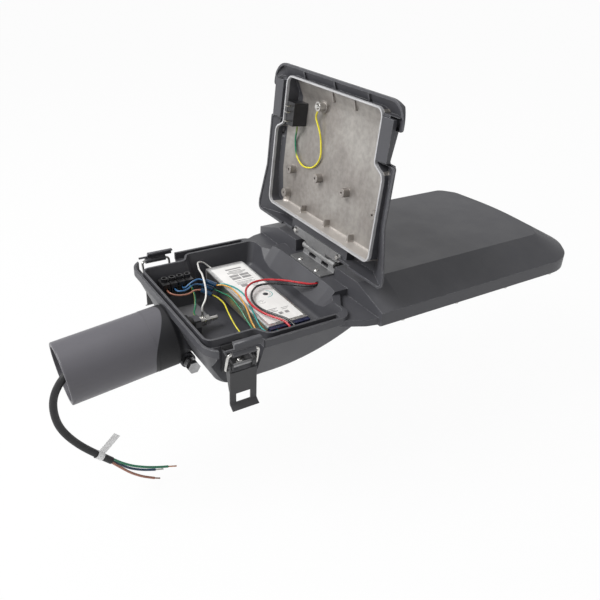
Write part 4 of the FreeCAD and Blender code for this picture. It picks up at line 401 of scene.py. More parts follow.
# Painted shadow on the spigot's neck under the tray's overhang
NECK_PAINTED_SHADOW = (0.009, 0.009, 0.011)
BARE_HAZE = (0.31, 0.285, 0.265)
KNUCKLE_GREY = (0.46, 0.46, 0.46)
GLASS_TINT = (0.97, 0.99, 0.98)


def rgba(value):
    """A colour with full cover."""
    return (*value[:3], 1.0)


def start(name):
    """A new material with its tree and its shader."""
    material = bpy.data.materials.new(name)
    material.use_nodes = True
    tree = material.node_tree
    return material, tree, tree.nodes["Principled BSDF"]


def shaded(tree, base, amount):
    """A colour made lighter or darker by a value round 1."""
    level = put(tree, "ShaderNodeCombineColor", {0: amount, 1: amount, 2: amount}).outputs[0]
    return blend(tree, 1.0, base, level, "MULTIPLY")


def wire_up(tree, shader, base, roughness, height, relief, depth, normal=None):
    """Links a finish to its shader: colour, roughness, relief in metres and the rounded edges."""
    tree.links.new(base, shader.inputs["Base Color"])
    tree.links.new(roughness, shader.inputs["Roughness"])
    bump = put(tree, "ShaderNodeBump", {"Strength": relief, "Distance": depth,
                                        "Height": height})
    if normal is not None:
        tree.links.new(normal, bump.inputs["Normal"])
    tree.links.new(bump.outputs[0], shader.inputs["Normal"])


def fed(tree, name):
    """One input of the material's shader, and the socket that feeds it."""
    taking = tree.nodes["Principled BSDF"].inputs[name]
    return taking, taking.links[0].from_socket


def overlay(tree, mask, tint):
    """Lays a colour over the finish where the mask is 1."""
    taking, base = fed(tree, "Base Color")
    tree.links.new(blend(tree, mask, base, tint), taking)


def roughen(tree, mask, amount):
    """Adds to the finish's roughness where the mask is 1."""
    taking, rough = fed(tree, "Roughness")
    tree.links.new(sums(tree, "MULTIPLY_ADD", mask, amount, rough, clamp=True), taking)


def gather_dust(tree, amount, tint):
    """Lets dust settle on the finish."""
    film = use(tree, "Settled dust", Amount=amount)["Mask"]
    overlay(tree, film, rgba(tint))
    roughen(tree, film, 0.3)


def skinned(name, tint, worn_and_highlit, kind, values, roughness, relief, depth, round_by, wear_and_highlight):
    """A material with one shared skin whose edges are rounded and paled to a second colour, partly
    as wear and partly as painted highlight.
    """
    material, tree, shader = start(name)
    skin = use(tree, kind, **values)
    edge = use(tree, "Worn and highlit edge", Width=round_by, Wear=wear_and_highlight)
    # Edges paled to the second colour: partly wear, partly painted highlight
    base = blend(tree, edge["Mask"], shaded(tree, rgba(tint), skin["Shade"]), rgba(worn_and_highlit))
    rough = sums(tree, "ADD", skin["Sheen"], roughness, clamp=True)
    wire_up(tree, shader, base, rough, skin["Height"], relief, depth, edge["Normal"])
    return material, tree, shader, edge["Mask"]


def powder_paint(name, paint, tint, roughness, grain=None, wear_and_highlight=0.85, dust=0.04,
                 round_by=0.0008):
    """Powder paint with thin glossier edges, paled partly by wear and partly by painted highlight,
    and a little dust.
    """
    skin = {"Grain": (grain or paint.grain) / MM, "Drift": 0.07}
    material, tree, shader, edge = skinned(
        name, tint, paint.worn_and_highlit, "Powder coat", skin, roughness, relief=0.22, depth=0.00025,
        round_by=round_by, wear_and_highlight=wear_and_highlight)
    gather_dust(tree, dust, PAINT_DUST)
    roughen(tree, edge, -0.12)
    return material


def paint_neck_shadow(coat, collar):
    """Paints the shadow on the neck beside the spigot's end, and gives what lies before it one
    colour.
    """
    tree = coat.node_tree
    shade = use(tree, "Neck painted shadow")
    overlay(tree, times(tree, shade["Collar"], 0.9), rgba(collar))
    # Painted shadow on the neck
    overlay(tree, shade["Mask"], rgba(NECK_PAINTED_SHADOW))
    roughen(tree, shade["Mask"], 0.15)


def box_mm(node):
    """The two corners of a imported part's box in millimetres."""
    return [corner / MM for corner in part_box(node)]


def inside(tree, middle, half, border):
    """A mask that is 1 inside a box given in millimetres."""
    return use(tree, "Region", Middle=middle, Half=half, Border=border)["Mask"]


# The lid's bare inside, in millimetres against its gasket's box
BARE_INSET = 4.6
BARE_TOP_HALF = 88.9
# The bare field is moved off the far inner wall, which keeps the dark paint as painted shade
BARE_MIDDLE_Y_OFF_SHADED_WALL = -3.3
BARE_SHOULDER = 0.62
# Half height of the painted light on the lid's hinge wall
LIT_HINGE_WALL = 2.9


def lid_paint(name, paint):
    """The casting's paint, with bare metal on the lid's inside, painted light on its hinge wall,
    and the dark paint kept on its far inner wall as painted shade.
    """
    material = powder_paint(name, paint, paint.body, paint.roughness)
    tree = material.node_tree
    low, high = box_mm("lid_gasket")
    middle_x = high.x + 1.5
    deep, wide = high.x - low.x, high.y - BARE_INSET
    shoulder = low.z + (high.z - low.z) * BARE_SHOULDER
    masks = [inside(tree, (middle_x, BARE_MIDDLE_Y_OFF_SHADED_WALL, (foot + top) / 2),
                    (deep, half, (top - foot) / 2), 0.6)
             for half, foot, top in ((wide, low.z - 0.6, shoulder),
                                     (BARE_TOP_HALF, shoulder - 4, high.z - 2.2))]
    inward = ramp(tree, xyz(tree, facing(tree))["X"], 0.5, 0.3)
    mask = times(tree, fold(tree, "MAXIMUM", *masks), inward)
    cast = use(tree, "Drawn metal", Stretch=(1.0, 0.6, 0.25), Fineness=0.10)
    haze = ramp(tree, noise(tree, place_mm(tree), 0.013), 0.3, 0.7)
    bare = shaded(tree, blend(tree, haze, rgba(paint.bare), rgba(BARE_HAZE)), cast["Shade"])
    # Painted light on the hinge wall
    wall = inside(tree, (middle_x, 0.0, low.z), (deep, wide, LIT_HINGE_WALL), 0.4)
    overlay(tree, mask, blend(tree, wall, bare, rgba(paint.rubbed_and_lit)))
    roughen(tree, mask, sums(tree, "SUBTRACT", cast["Sheen"], 0.04))
    tree.links.new(times(tree, mask, 0.55), tree.nodes["Principled BSDF"].inputs["Metallic"])
    return material


def bright_metal(name, tint, roughness=0.28, stretch=(1.0, 1.0, 1.0), fineness=2.2,
                 relief=0.12, round_by=0.0003, metallic=1.0):
    """Machined or drawn metal with faint lines, stains and softened edges, paler partly by wear and
    partly by painted highlight.
    """
    # Paler edges: partly wear, partly painted highlight
    pale = [min(1.0, part * 1.2 + 0.05) for part in tint]
    material, tree, shader, edge = skinned(
        name, tint, pale, "Drawn metal", {"Stretch": stretch, "Fineness": fineness}, roughness,
        relief, depth=0.00008, round_by=round_by, wear_and_highlight=0.3)
    shader.inputs["Metallic"].default_value = metallic
    return material


def moulding(name, tint, roughness=0.42, grain=0.4, flow=0.08, relief=0.2, round_by=0.0004,
             dust=0.0, wear_and_highlight=0.25, coat=0.0):
    """Moulded plastic or rubber with a spark texture and paler edges, partly rubbed and partly
    painted highlight.
    """
    rubbed_and_lit = [min(1.0, part * 1.25 + 0.03) for part in tint]
    material, tree, shader, edge = skinned(
        name, tint, rubbed_and_lit, "Moulded skin", {"Grain": grain, "Flow": flow}, roughness, relief,
        depth=0.0001, round_by=round_by, wear_and_highlight=wear_and_highlight)
    if dust:
        gather_dust(tree, dust, PLASTIC_DUST)
    shader.inputs["Coat Weight"].default_value = coat
    return material


def lead_skin(name, tint, stripe=None, direction=(0.0, 0.0, 1.0), start_at=0.2):
    """Glossy insulation of a lead, with a second colour down one side where it has one."""
    material, tree, shader = start(name)
    skin = use(tree, "Moulded skin", Grain=0.25, Flow=0.10)
    base = rgba(tint)
    if stripe is not None:
        mask = use(tree, "Side stripe", Direction=direction, Start=start_at)["Mask"]
        base = blend(tree, mask, base, rgba(stripe))
    scuff = ramp(tree, noise(tree, place_mm(tree), 0.45, 3.0, 0.6), 0.55, 0.8)
    base = shaded(tree, base, skin["Shade"])
    base = blend(tree, times(tree, scuff, 0.25), base, rgba(LEAD_SCUFF))
    rough = sums(tree, "MULTIPLY_ADD", scuff, 0.22, sums(tree, "ADD", skin["Sheen"], 0.30))
    shader.inputs["Coat Weight"].default_value = 0.15
    wire_up(tree, shader, base, rough, skin["Height"], relief=0.12, depth=0.00008)
    return material


def dress(finish, *nodes):
    """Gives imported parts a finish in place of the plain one."""
    for node in nodes:
        slots = NODES[node].data.materials
        slots.clear()
        slots.append(finish)


# Shapes

def placed(name, data):
    """A new object in the scene."""
    item = bpy.data.objects.new(name, data)
    bpy.context.scene.collection.objects.link(item)
    return item


def new_piece(name, mesh, body, finishes, smooth=False):
    """An object from a bmesh that rides on a body and takes its finish from a slot."""
    data = bpy.data.meshes.new(name)
    bmesh.ops.recalc_face_normals(mesh, faces=mesh.faces)
    mesh.to_mesh(data)
    mesh.free()
    for finish in finishes:
        data.materials.append(finish)
    for face in data.polygons:
        face.use_smooth = smooth
    piece = placed(name, data)
    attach(piece, body)
    return piece


def rectangle(x, y, across, tall):
    """The four corners of a rectangle."""
    return [(x, y), (x + across, y), (x + across, y + tall), (x, y + tall)]


def prism(mesh, corners, low, high, finish=0):
    """A flat shape between two heights, from its corners in metres."""
    foot = [mesh.verts.new((x, y, low)) for x, y in corners]
    top = [mesh.verts.new((x, y, high)) for x, y in corners]
    faces = [mesh.faces.new(foot[::-1]), mesh.faces.new(top)]
    for i in range(len(corners)):
        j = (i + 1) % len(corners)
        faces.append(mesh.faces.new((foot[i], foot[j], top[j], top[i])))
    for face in faces:
        face.material_index = finish


def tube(mesh, path, radius, sides, finish):
    """A closed round tube along a path of points in metres."""
    rings = []
    side = Vector((0, 0, 1))
    for i, spot in enumerate(path):
        ahead = (path[min(i + 1, len(path) - 1)] - path[max(i - 1, 0)]).normalized()
        side = (side - ahead * side.dot(ahead)).normalized()
        other = ahead.cross(side)
        rings.append([
            mesh.verts.new(spot + side * (radius * math.cos(a)) + other * (radius * math.sin(a)))
            for a in (2 * math.pi * k / sides for k in range(sides))])
    faces = [mesh.faces.new(rings[0][::-1]), mesh.faces.new(rings[-1])]
    for first, second in zip(rings, rings[1:]):
        for k in range(sides):
            n = (k + 1) % sides
            faces.append(mesh.faces.new((first[k], first[n], second[n], second[k])))
    for face in faces:
        face.material_index = finish
        face.smooth = True


MERGE_WITHIN = 0.000002
CUT_WITHIN = 0.0000001
SMOOTH_BELOW = math.radians(24)


def remade(node, name, body, finish, change, cuts=(), turn=Matrix.Identity(4)):
    """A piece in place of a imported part: its mesh, turned, cut, with its corners moved."""
    mesh = bmesh.new()
    mesh.from_mesh(NODES[node].data)
    mesh.transform(turn)
    bmesh.ops.remove_doubles(mesh, verts=mesh.verts, dist=MERGE_WITHIN)
    for spot, facing in cuts:
        bmesh.ops.bisect_plane(mesh, geom=[*mesh.verts, *mesh.edges, *mesh.faces],
                               dist=CUT_WITHIN, plane_co=spot, plane_no=facing)
    for corner in mesh.verts:
        change(corner.co)
    mesh.transform(turn.inverted())
    for edge in mesh.edges:
        edge.smooth = edge.calc_face_angle(0.0) < SMOOTH_BELOW
    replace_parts(new_piece(name, mesh, body, [finish], True), node)


def values(context, *groups):
    """The groups of values that a user may change, by name."""
    return [getattr(context.scene, "lighthead_" + group) for group in groups]


class Step:
    """What every operator of the light head has."""

    bl_options = {"REGISTER", "UNDO"}


# Castings and fittings

# Places and sizes on the shut lid and on the latches at rest, in metres
ROOF_FALL = 22 / 43
LID_TOP = 0.079
LID_SHEET = 0.0028
LID_EDGE = 0.0025
LID_SKIRT = 0.056
LID_CREST_Y = 0.084
LID_CREST_X = 0.1523
LID_FLARE = ((0.245, 0.0), (0.297, 0.012))
LID_WAISTS = ((0.1450, 0.1790, 0.1143, 0.050), (0.1450, 0.1790, 0.1080, 0.0572))
CLAW_CORNER = (0.1448, 0.0562)
CLAW_PLATE_Y = 0.1191
LEVER_BEND = -0.012
LIP_SHARE = 0.56
LID_RIB_FOOT = 0.0682
LID_RIB_DROP = 0.0030
LID_RIB_CLEAR = 0.0006
LID_ROOF_CLEAR = 0.0004
LID_RECESS_END = 0.1285
EDGE_SQUASH = 0.4
HAIR = 0.0001

# Middles and half sizes of the painted light on the tops of the pad and the round spot on the
# tray's floor
LIT_PAD_TOPS_MM = (((163.0, 48.0, 5.0), (24.0, 22.0, 1.5)), ((172.0, 3.5, 13.0), (14.5, 8.0, 4.0)))


def lid_shutter():
    """The turn that shuts the lid about its hinge."""
    joint = next(row for row in frame["joints"] if row["name"] == "lid_hinge")
    pivot = Matrix.Translation(joint["pos_m"])
    angle = math.radians(joint["range_deg"][0])
    return pivot @ Matrix.Rotation(angle, 4, Vector(joint["axis"])) @ pivot.inverted()


class LIGHTHEAD_OT_castings(Step, Operator):
    """Paint the housing and the glass frame, and slope the lid's sides like the roof's."""

    bl_idname = "lighthead.castings"
    bl_label = "Castings"

    def execute(self, context):
        paint = context.scene.lighthead_paint
        coat = powder_paint("casting_paint", paint, paint.body, paint.roughness)
        paint_neck_shadow(coat, paint.spigot)
        self.paint_lit_pad_tops(coat.node_tree, paint)
        dress(coat, "housing", "glass_frame")
        self.lid(lid_paint("lid_paint", paint))
        return {"FINISHED"}

    def paint_lit_pad_tops(self, tree, paint):
        """Painted light: the paler tops of the pad and of the round spot on the tray's floor, where
        light falls on their raised faces.
        """
        masks = [inside(tree, middle, half, 0.5) for middle, half in LIT_PAD_TOPS_MM]
        overlay(tree, times(tree, fold(tree, "MAXIMUM", *masks), 0.55), rgba(paint.worn_and_highlit))

    def lid(self, finish):
        """The lid's cover, whose sides fall in line with the head's roof when it is shut."""
        (flare_start, narrow), (flare_end, wide) = LID_FLARE
        flare_lean = (wide - narrow) / (flare_end - flare_start)

        def sloped(spot):
            """Moves a corner of the shut lid to the sloped form."""
            flare = min(max(spot.x - flare_start, 0) * flare_lean, wide)
            past = max(abs(spot.y) - LID_CREST_Y - flare, LID_CREST_X - spot.x)
            if past <= 0:
                return
            outside = LID_TOP - past * ROOF_FALL
            ceiling = max(outside - LID_SHEET, LID_SKIRT + LID_ROOF_CLEAR)
            if spot.z > LID_TOP - LID_EDGE - 1.5 * HAIR:
                spot.z = outside - EDGE_SQUASH * (LID_TOP - spot.z)
            elif abs(spot.z - LID_RIB_FOOT) < HAIR and spot.x < LID_RECESS_END:
                spot.z = max(ceiling - LID_RIB_DROP, LID_SKIRT + LID_RIB_CLEAR)
            else:
                spot.z = min(spot.z, ceiling)
            for start_x, end_x, half, level in LID_WAISTS:
                if start_x - HAIR < spot.x < end_x + HAIR and spot.z > level:
                    spot.y = min(max(spot.y, -half), half)

        start_x, end_x = LID_WAISTS[0][:2]
        cuts = [((x, 0, 0), (1, 0, 0)) for x in (
            LID_CREST_X, flare_start, flare_end, start_x - HAIR, start_x, end_x)]
        for side in (-1, 1):
            crest = side * LID_CREST_Y
            cuts += [
                ((0, crest, 0), (0, 1, 0)), ((0, crest + side * wide, 0), (0, 1, 0)),
                ((LID_CREST_X, crest, 0), (1, side, 0)),
                ((flare_start, crest, 0), (-side * flare_lean, 1, 0)),
            ]
        remade("lid", "lid_cover", "lid", finish, sloped, cuts, lid_shutter())


class LIGHTHEAD_OT_spigot(Step, Operator):
    """Paint the pole spigot and finish its set screws and locknuts."""

    bl_idname = "lighthead.spigot"
    bl_label = "Pole spigot"

    def execute(self, context):
        paint, metal = values(context, "paint", "metal")
        coat = powder_paint("spigot_paint", paint, paint.spigot, paint.roughness - 0.05,
                            dust=0.03)
        paint_neck_shadow(coat, paint.spigot)
        dress(coat, "pole_spigot")
        dress(bright_metal("set_screw_steel", metal.dark, 0.24), "spigot_screws",
              "spigot_locknuts")
        return {"FINISHED"}


class LIGHTHEAD_OT_lid_fittings(Step, Operator):
    """Finish the lid's gasket, its switch and its earth post."""

    bl_idname = "lighthead.lid_fittings"
    bl_label = "Lid fittings"

    def execute(self, context):
        plastic, metal, lead = values(context, "plastic", "metal", "leads")
        dress(moulding("gasket_silicone", plastic.gasket, 0.55, 0.7, 0.10, 0.3), "lid_gasket")
        dress(moulding("switch_plastic", plastic.black, 0.34, 0.3, 0.1, 0.15, wear_and_highlight=0.5),
              "door_switch")
        dress(bright_metal("blade_metal", metal.tin, 0.26), "switch_blades")
        dress(bright_metal("post_metal", metal.steel, 0.34), "lid_earth_post")
        dress(bright_metal("post_screw_metal", metal.steel, 0.24), "lid_earth_screw")
        skin = lead_skin("lid_earth_skin", lead.yellow, lead.green, (0.3, 0.9, 0.2), 0.25)
        self.green_leg(skin.node_tree, lead)
        dress(skin, "lid_earth_wire")
        return {"FINISHED"}

    def green_leg(self, tree, lead):
        """Shows the green side of the insulation on the leg by the switch."""
        low, high = box_mm("lid_earth_wire")
        leg = inside(tree, (low.x, high.y, high.z), (30.0, 9.0, (high.z - low.z) - 8.0), 5.0)
        overlay(tree, leg, rgba(lead.green))


class LIGHTHEAD_OT_hinge(Step, Operator):
    """Finish the hinge's leaves, pin, rivets and screws."""

    bl_idname = "lighthead.hinge"
    bl_label = "Hinge"

    def execute(self, context):
        metal = context.scene.lighthead_metal
        leaf = bright_metal("hinge_sheet", metal.dark, 0.42, (1.0, 0.2, 1.0), 1.6, 0.15, 0.0006,
                            0.75)
        self.knuckles(leaf.node_tree)
        dress(leaf, "hinge_tray_leaf", "hinge_lid_leaf")
        dress(bright_metal("hinge_pin_steel", metal.steel, 0.30, (1.0, 0.1, 1.0), 3.0),
              "hinge_pin")
        dress(bright_metal("rivet_steel", metal.steel, 0.25), "hinge_rivets",
              "hinge_lid_screws")
        return {"FINISHED"}

    def knuckles(self, tree):
        """Makes the knuckles round the pin lighter than the sheet."""
        low, high = box_mm("hinge_pin")
        half = (high - low) / 2 + Vector((2.6, 1.0, 2.6))
        overlay(tree, inside(tree, (low + high) / 2, half, 1.0), rgba(KNUCKLE_GREY))


class LIGHTHEAD_OT_latches(Step, Operator):
    """Finish both over-centre latches."""

    bl_idname = "lighthead.latches"
    bl_label = "Latches"

    def execute(self, context):
        paint, metal = values(context, "paint", "metal")
        sheet = powder_paint("latch_paint", paint, paint.latch, 0.40, grain=0.0007, wear_and_highlight=0.8,
                             dust=0.05, round_by=0.0004)
        claw = powder_paint("claw_paint", paint, paint.body, 0.44, wear_and_highlight=0.9, round_by=0.0006)
        wire = bright_metal("bail_wire", metal.steel, 0.20, (1.0, 1.0, 0.15), 3.0, 0.08)
        cuts = [((CLAW_CORNER[0] + past, 0, 0), (1, 0, 0)) for past in (0, 5 * HAIR)]
        for side in ("near", "far"):
            dress(sheet, "latch_base_" + side)
            remade("latch_lever_" + side, "lever_plate_" + side, "lever_" + side,
                   sheet, self.lip)
            dress(wire, "latch_bail_" + side)
            remade("latch_claw_" + side, "claw_hook_" + side, "claw_" + side,
                   claw, self.corner, cuts)
        dress(bright_metal("latch_rivet_steel", metal.steel, 0.28), "latch_rivets")
        dress(bright_metal("latch_pin_steel", metal.dark, 0.35), "latch_pins")
        return {"FINISHED"}

    def corner(self, spot):
        """Lowers the hook's corner that would meet the shut lid."""
        if spot.x < CLAW_CORNER[0] + HAIR and spot.z > CLAW_CORNER[1]:
            spot.z = CLAW_CORNER[1]
            spot.y = math.copysign(max(abs(spot.y), CLAW_PLATE_Y), spot.y)

    def lip(self, spot):
        """Flattens the lip below the lever's bend."""
        if spot.z < LEVER_BEND:
            spot.z = LEVER_BEND + (spot.z - LEVER_BEND) * LIP_SHARE


# Gear in the tray

PRINT_SUNK = 0.00002
PRINT_TALL = 0.00006
ARC_STEPS = 24

# The label's bars and boxes in millimetres: x, y, width, height and ink
LABEL_ROWS = [
    (228, 66, 22, 3.0, 1), (230, 61.5, 17, 1.6, 1), (226, 58.5, 26, 1.2, 1),
    (226, 56, 24, 1.2, 1), (232, 53.5, 14, 1.2, 1),
    *((x, y, 12, 5.4, 1) for y in (46, 39) for x in (225, 239)),
    (225, 34.5, 26, 0.6, 0), (225, 30.5, 22, 1.0, 1), (225, 28, 25, 1.0, 1),
    (225, 25.5, 18, 1.0, 1), (227, 18, 9, 6.5, 1), (240, 20, 11, 1.2, 1),
    (240, 17, 8, 1.2, 1), (240, 14, 10, 1.2, 1),
    (221, -46, 17, 1.2, 1), (221, -49, 13, 1.2, 1), (221, -52, 15, 1.2, 1),
    (242, -48, 10, 0.9, 1), (242, -51, 7, 0.9, 1),
    *((x, -60, 5, 5.0, 1) for x in (226, 234, 242)),
]

# Its dot and rings: x, y, inner and outer radius, first and last angle, and ink
LABEL_ARCS = [
    (243, -10, 0.0, 3.4, 0, 360, 0), (243, -10, 7.9, 8.7, -100, 60, 2),
    (243, -10, 5.4, 6.0, -70, 10, 1), (230, -25, 3.4, 4.0, 30, 330, 1),
    (229, -25, 1.4, 2.0, -60, 120, 1),
]


class LIGHTHEAD_OT_driver(Step, Operator):
    """Finish the driver and print its label's plain fields."""

    bl_idname = "lighthead.driver"
    bl_label = "Driver"

    def execute(self, context):
        plastic, metal = values(context, "plastic", "metal")
        dress(bright_metal("driver_sheet", metal.zinc, 0.36, (1.0, 0.08, 1.0), 1.6, 0.10,
                           0.0006), "driver_case")
        caps = moulding("driver_cap_plastic", plastic.cap, 0.30, 0.4, 0.1, 0.12, coat=0.2)
        self.far_cap(caps.node_tree, plastic)
        dress(caps, "driver_end_caps")
        dress(bright_metal("driver_screw_steel", metal.steel, 0.25), "driver_screws")
        dress(moulding("label_film", plastic.label, 0.40, 1.2, 0.03, 0.05, round_by=0.0002,
                       dust=0.10, wear_and_highlight=0.0, coat=0.2), "driver_label")
        self.print_label(plastic)
        return {"FINISHED"}

    def far_cap(self, tree, plastic):
        """Turns the far cap grey, where the near one is blue."""
        y = xyz(tree, place_mm(tree))["Y"]
        overlay(tree, ramp(tree, y, -5.0, 5.0), rgba(plastic.print_grey))

    def print_label(self, plastic):
        """Bars, boxes, a dot and a ring a hair above the film."""
        inks = [moulding("ink_" + tone, tint, 0.5, 0.9, 0.12, 0.05, 0.0001, wear_and_highlight=0.0)
                for tone, tint in (("dark", plastic.print_dark), ("grey", plastic.print_grey),
                                   ("teal", plastic.print_teal))]
        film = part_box("driver_label")[1].z
        shapes = [(rectangle(*row[:4]), row[4]) for row in LABEL_ROWS]
        for x, y, inner, outer, first, last, ink in LABEL_ARCS:
            turns = [math.radians(first + (last - first) * step / ARC_STEPS)
                     for step in range(ARC_STEPS + 1)]
            rim = [(x + outer * math.cos(a), y + outer * math.sin(a)) for a in turns]
            bore = [(x + inner * math.cos(a), y + inner * math.sin(a)) for a in turns]
            for i in range(ARC_STEPS):
                ends = (bore[i + 1], bore[i]) if inner else ((x, y),)
                shapes.append(((rim[i], rim[i + 1], *ends), ink))
        mesh = bmesh.new()
        for corners, ink in shapes:
            prism(mesh, [(x * MM, y * MM) for x, y in corners], film - PRINT_SUNK,
                  film + PRINT_TALL, ink)
        new_piece("driver_label_print", mesh, "head", inks)


class LIGHTHEAD_OT_terminals(Step, Operator):
    """Finish the terminal block, the gland, the earth bolt and the lead grommet."""

    bl_idname = "lighthead.terminals"
    bl_label = "Terminals"

    def execute(self, context):
        plastic, metal = values(context, "plastic", "metal")
        dress(moulding("terminal_plastic", plastic.black, 0.32, 0.3, 0.1, 0.15, dust=0.10,
                       wear_and_highlight=0.5), "terminal_block")
        dress(moulding("gland_plastic", plastic.black, 0.45, 0.5, 0.1, 0.2), "cable_gland",
              "lead_grommet")
        dress(bright_metal("terminal_screw_metal", metal.tin, 0.3), "terminal_screws")
        dress(bright_metal("earth_bolt_steel", metal.steel, 0.22, (0.15, 1.0, 1.0), 3.0),
              "earth_bolt")
        dress(bright_metal("earth_washer_steel", metal.steel, 0.20), "earth_washers")
        dress(bright_metal("earth_lug_tin", metal.tin, 0.24), "earth_lugs")
        return {"FINISHED"}


class LIGHTHEAD_OT_leads(Step, Operator):
    """Give each lead in the tray its colour."""

    bl_idname = "lighthead.leads"
    bl_label = "Leads"

    def execute(self, context):
        lead = context.scene.lighthead_leads
        for hue in ("brown", "blue", "white", "green", "orange", "teal", "red", "black"):
            dress(lead_skin("lead_" + hue, getattr(lead, hue)), "wire_" + hue)
        for hue, direction, start_at in (("yellow", (-0.6, 0.0, -0.8), 0.55),
                                         ("earth", (0.3, 0.0, 0.95), 0.15)):
            dress(lead_skin("lead_" + hue, lead.yellow, lead.green, direction, start_at),
                  "wire_" + hue)
        dress(moulding("splice_sleeve", lead.splice, 0.22, 0.5, 0.2, 0.2, coat=0.4),
              "wire_splices")
        return {"FINISHED"}


# Lamp side

LENS_RADIUS = 0.0075
LENS_COLUMNS = 6
LENS_ROWS = 5
EMITTER_FOOT = 0.0007
EMITTER_GAP = 0.00005
TRACK_WIDE = 0.0008
TRACK_APART = 0.0048
TRACK_PAST_LENS = 0.012
TRACK_THICK = 0.00012
SUNK_IN_BOARD = 0.00002


class LIGHTHEAD_OT_lamp(Step, Operator):
    """Finish the lamp board, its lenses and its cover, and add the emitters and tracks."""

    bl_idname = "lighthead.lamp"
    bl_label = "Lamp"

    def execute(self, context):
        lamp, plastic, metal = values(context, "lamp", "plastic", "metal")
        dress(moulding("board_mask", lamp.board, 0.35, 0.6, 0.04, 0.08), "lamp_board")
        dress(moulding("seal_rubber", plastic.seal, 0.6, 0.6, 0.1, 0.3), "glass_seal")
        dress(bright_metal("frame_screw_steel", metal.steel, 0.25), "frame_screws")
        dress(self.clear("cover_glass_clear", 0.02, 1.5), "cover_glass")
        dress(self.clear("lens_clear", 0.06, 1.49), "lamp_lenses")
        self.emitters(lamp, metal)
        return {"FINISHED"}

    def clear(self, name, roughness, index):
        """Clear glass or acrylic with faint wipe marks in its gloss."""
        material, tree, shader = start(name)
        marks = ramp(tree, noise(tree, place_mm(tree), 0.03, 4.0, 0.6, (1.0, 3.0, 1.0)),
                     0.45, 0.75, roughness, roughness + 0.05)
        tree.links.new(marks, shader.inputs["Roughness"])
        shader.inputs["Transmission Weight"].default_value = 1.0
        shader.inputs["IOR"].default_value = index
        shader.inputs["Base Color"].default_value = rgba(GLASS_TINT)
        return material

    def emitters(self, lamp, metal):
        """Square emitters under the lenses, joined along their rows by tinned tracks."""
        low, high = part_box("lamp_lenses")
        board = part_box("lamp_board")[0].z
        lit = moulding("emitter_phosphor", lamp.phosphor, 0.5, 0.3, 0.05, 0.1)
        tin = bright_metal("track_tin", metal.tin, 0.35)
        chips, tracks = bmesh.new(), bmesh.new()
        side = lamp.emitter
        first = low + Vector((LENS_RADIUS, LENS_RADIUS, 0))
        across, tall = (high - low).xy - Vector((2 * LENS_RADIUS, 2 * LENS_RADIUS))
        for row in range(LENS_ROWS):
            y = first.y + tall * row / (LENS_ROWS - 1)
            for column in range(LENS_COLUMNS):
                x = first.x + across * column / (LENS_COLUMNS - 1)
                prism(chips, rectangle(x - side / 2, y - side / 2, side, side),
                      board - EMITTER_FOOT, board - EMITTER_GAP)
            for offset in (-TRACK_APART / 2, TRACK_APART / 2):
                prism(tracks, rectangle(low.x - TRACK_PAST_LENS, y + offset - TRACK_WIDE / 2,
                                        high.x - low.x + 2 * TRACK_PAST_LENS, TRACK_WIDE),
                      board - TRACK_THICK, board + SUNK_IN_BOARD)
        new_piece("lamp_emitters", chips, "head", [lit])
        new_piece("lamp_board_tracks", tracks, "head", [tin])


# Supply cable

CABLE_ROUTE_MM = [
    (142, 0, 21), (117, 0, 21), (96, -4.5, 18), (74, -9, 18.5), (52, -11, 21),
    (30, -11, 19.5), (11, -11, 11.5), (-4, -10.5, -2), (-13.5, -10, -20), (-15.5, -10, -41),
    (-11.5, -10, -63), (0.5, -10, -86), (18, -10, -109), (38.5, -10, -131),
]
CORE_TIPS_MM = [
    ((86.8, -14.5, -178.2), (93.5, -14.7, -181.6)),
    ((91, -7.5, -172.1), (101, -7.8, -175.4)),
    ((106.3, -11.5, -170.6), (117, -12, -174.4)),
]
STRAND_RADIUS = 0.00029
STRAND_STEPS = 14
STRAND_TWIST = 2.6
STRAND_FLARE = 0.10
DARKER = 0.45


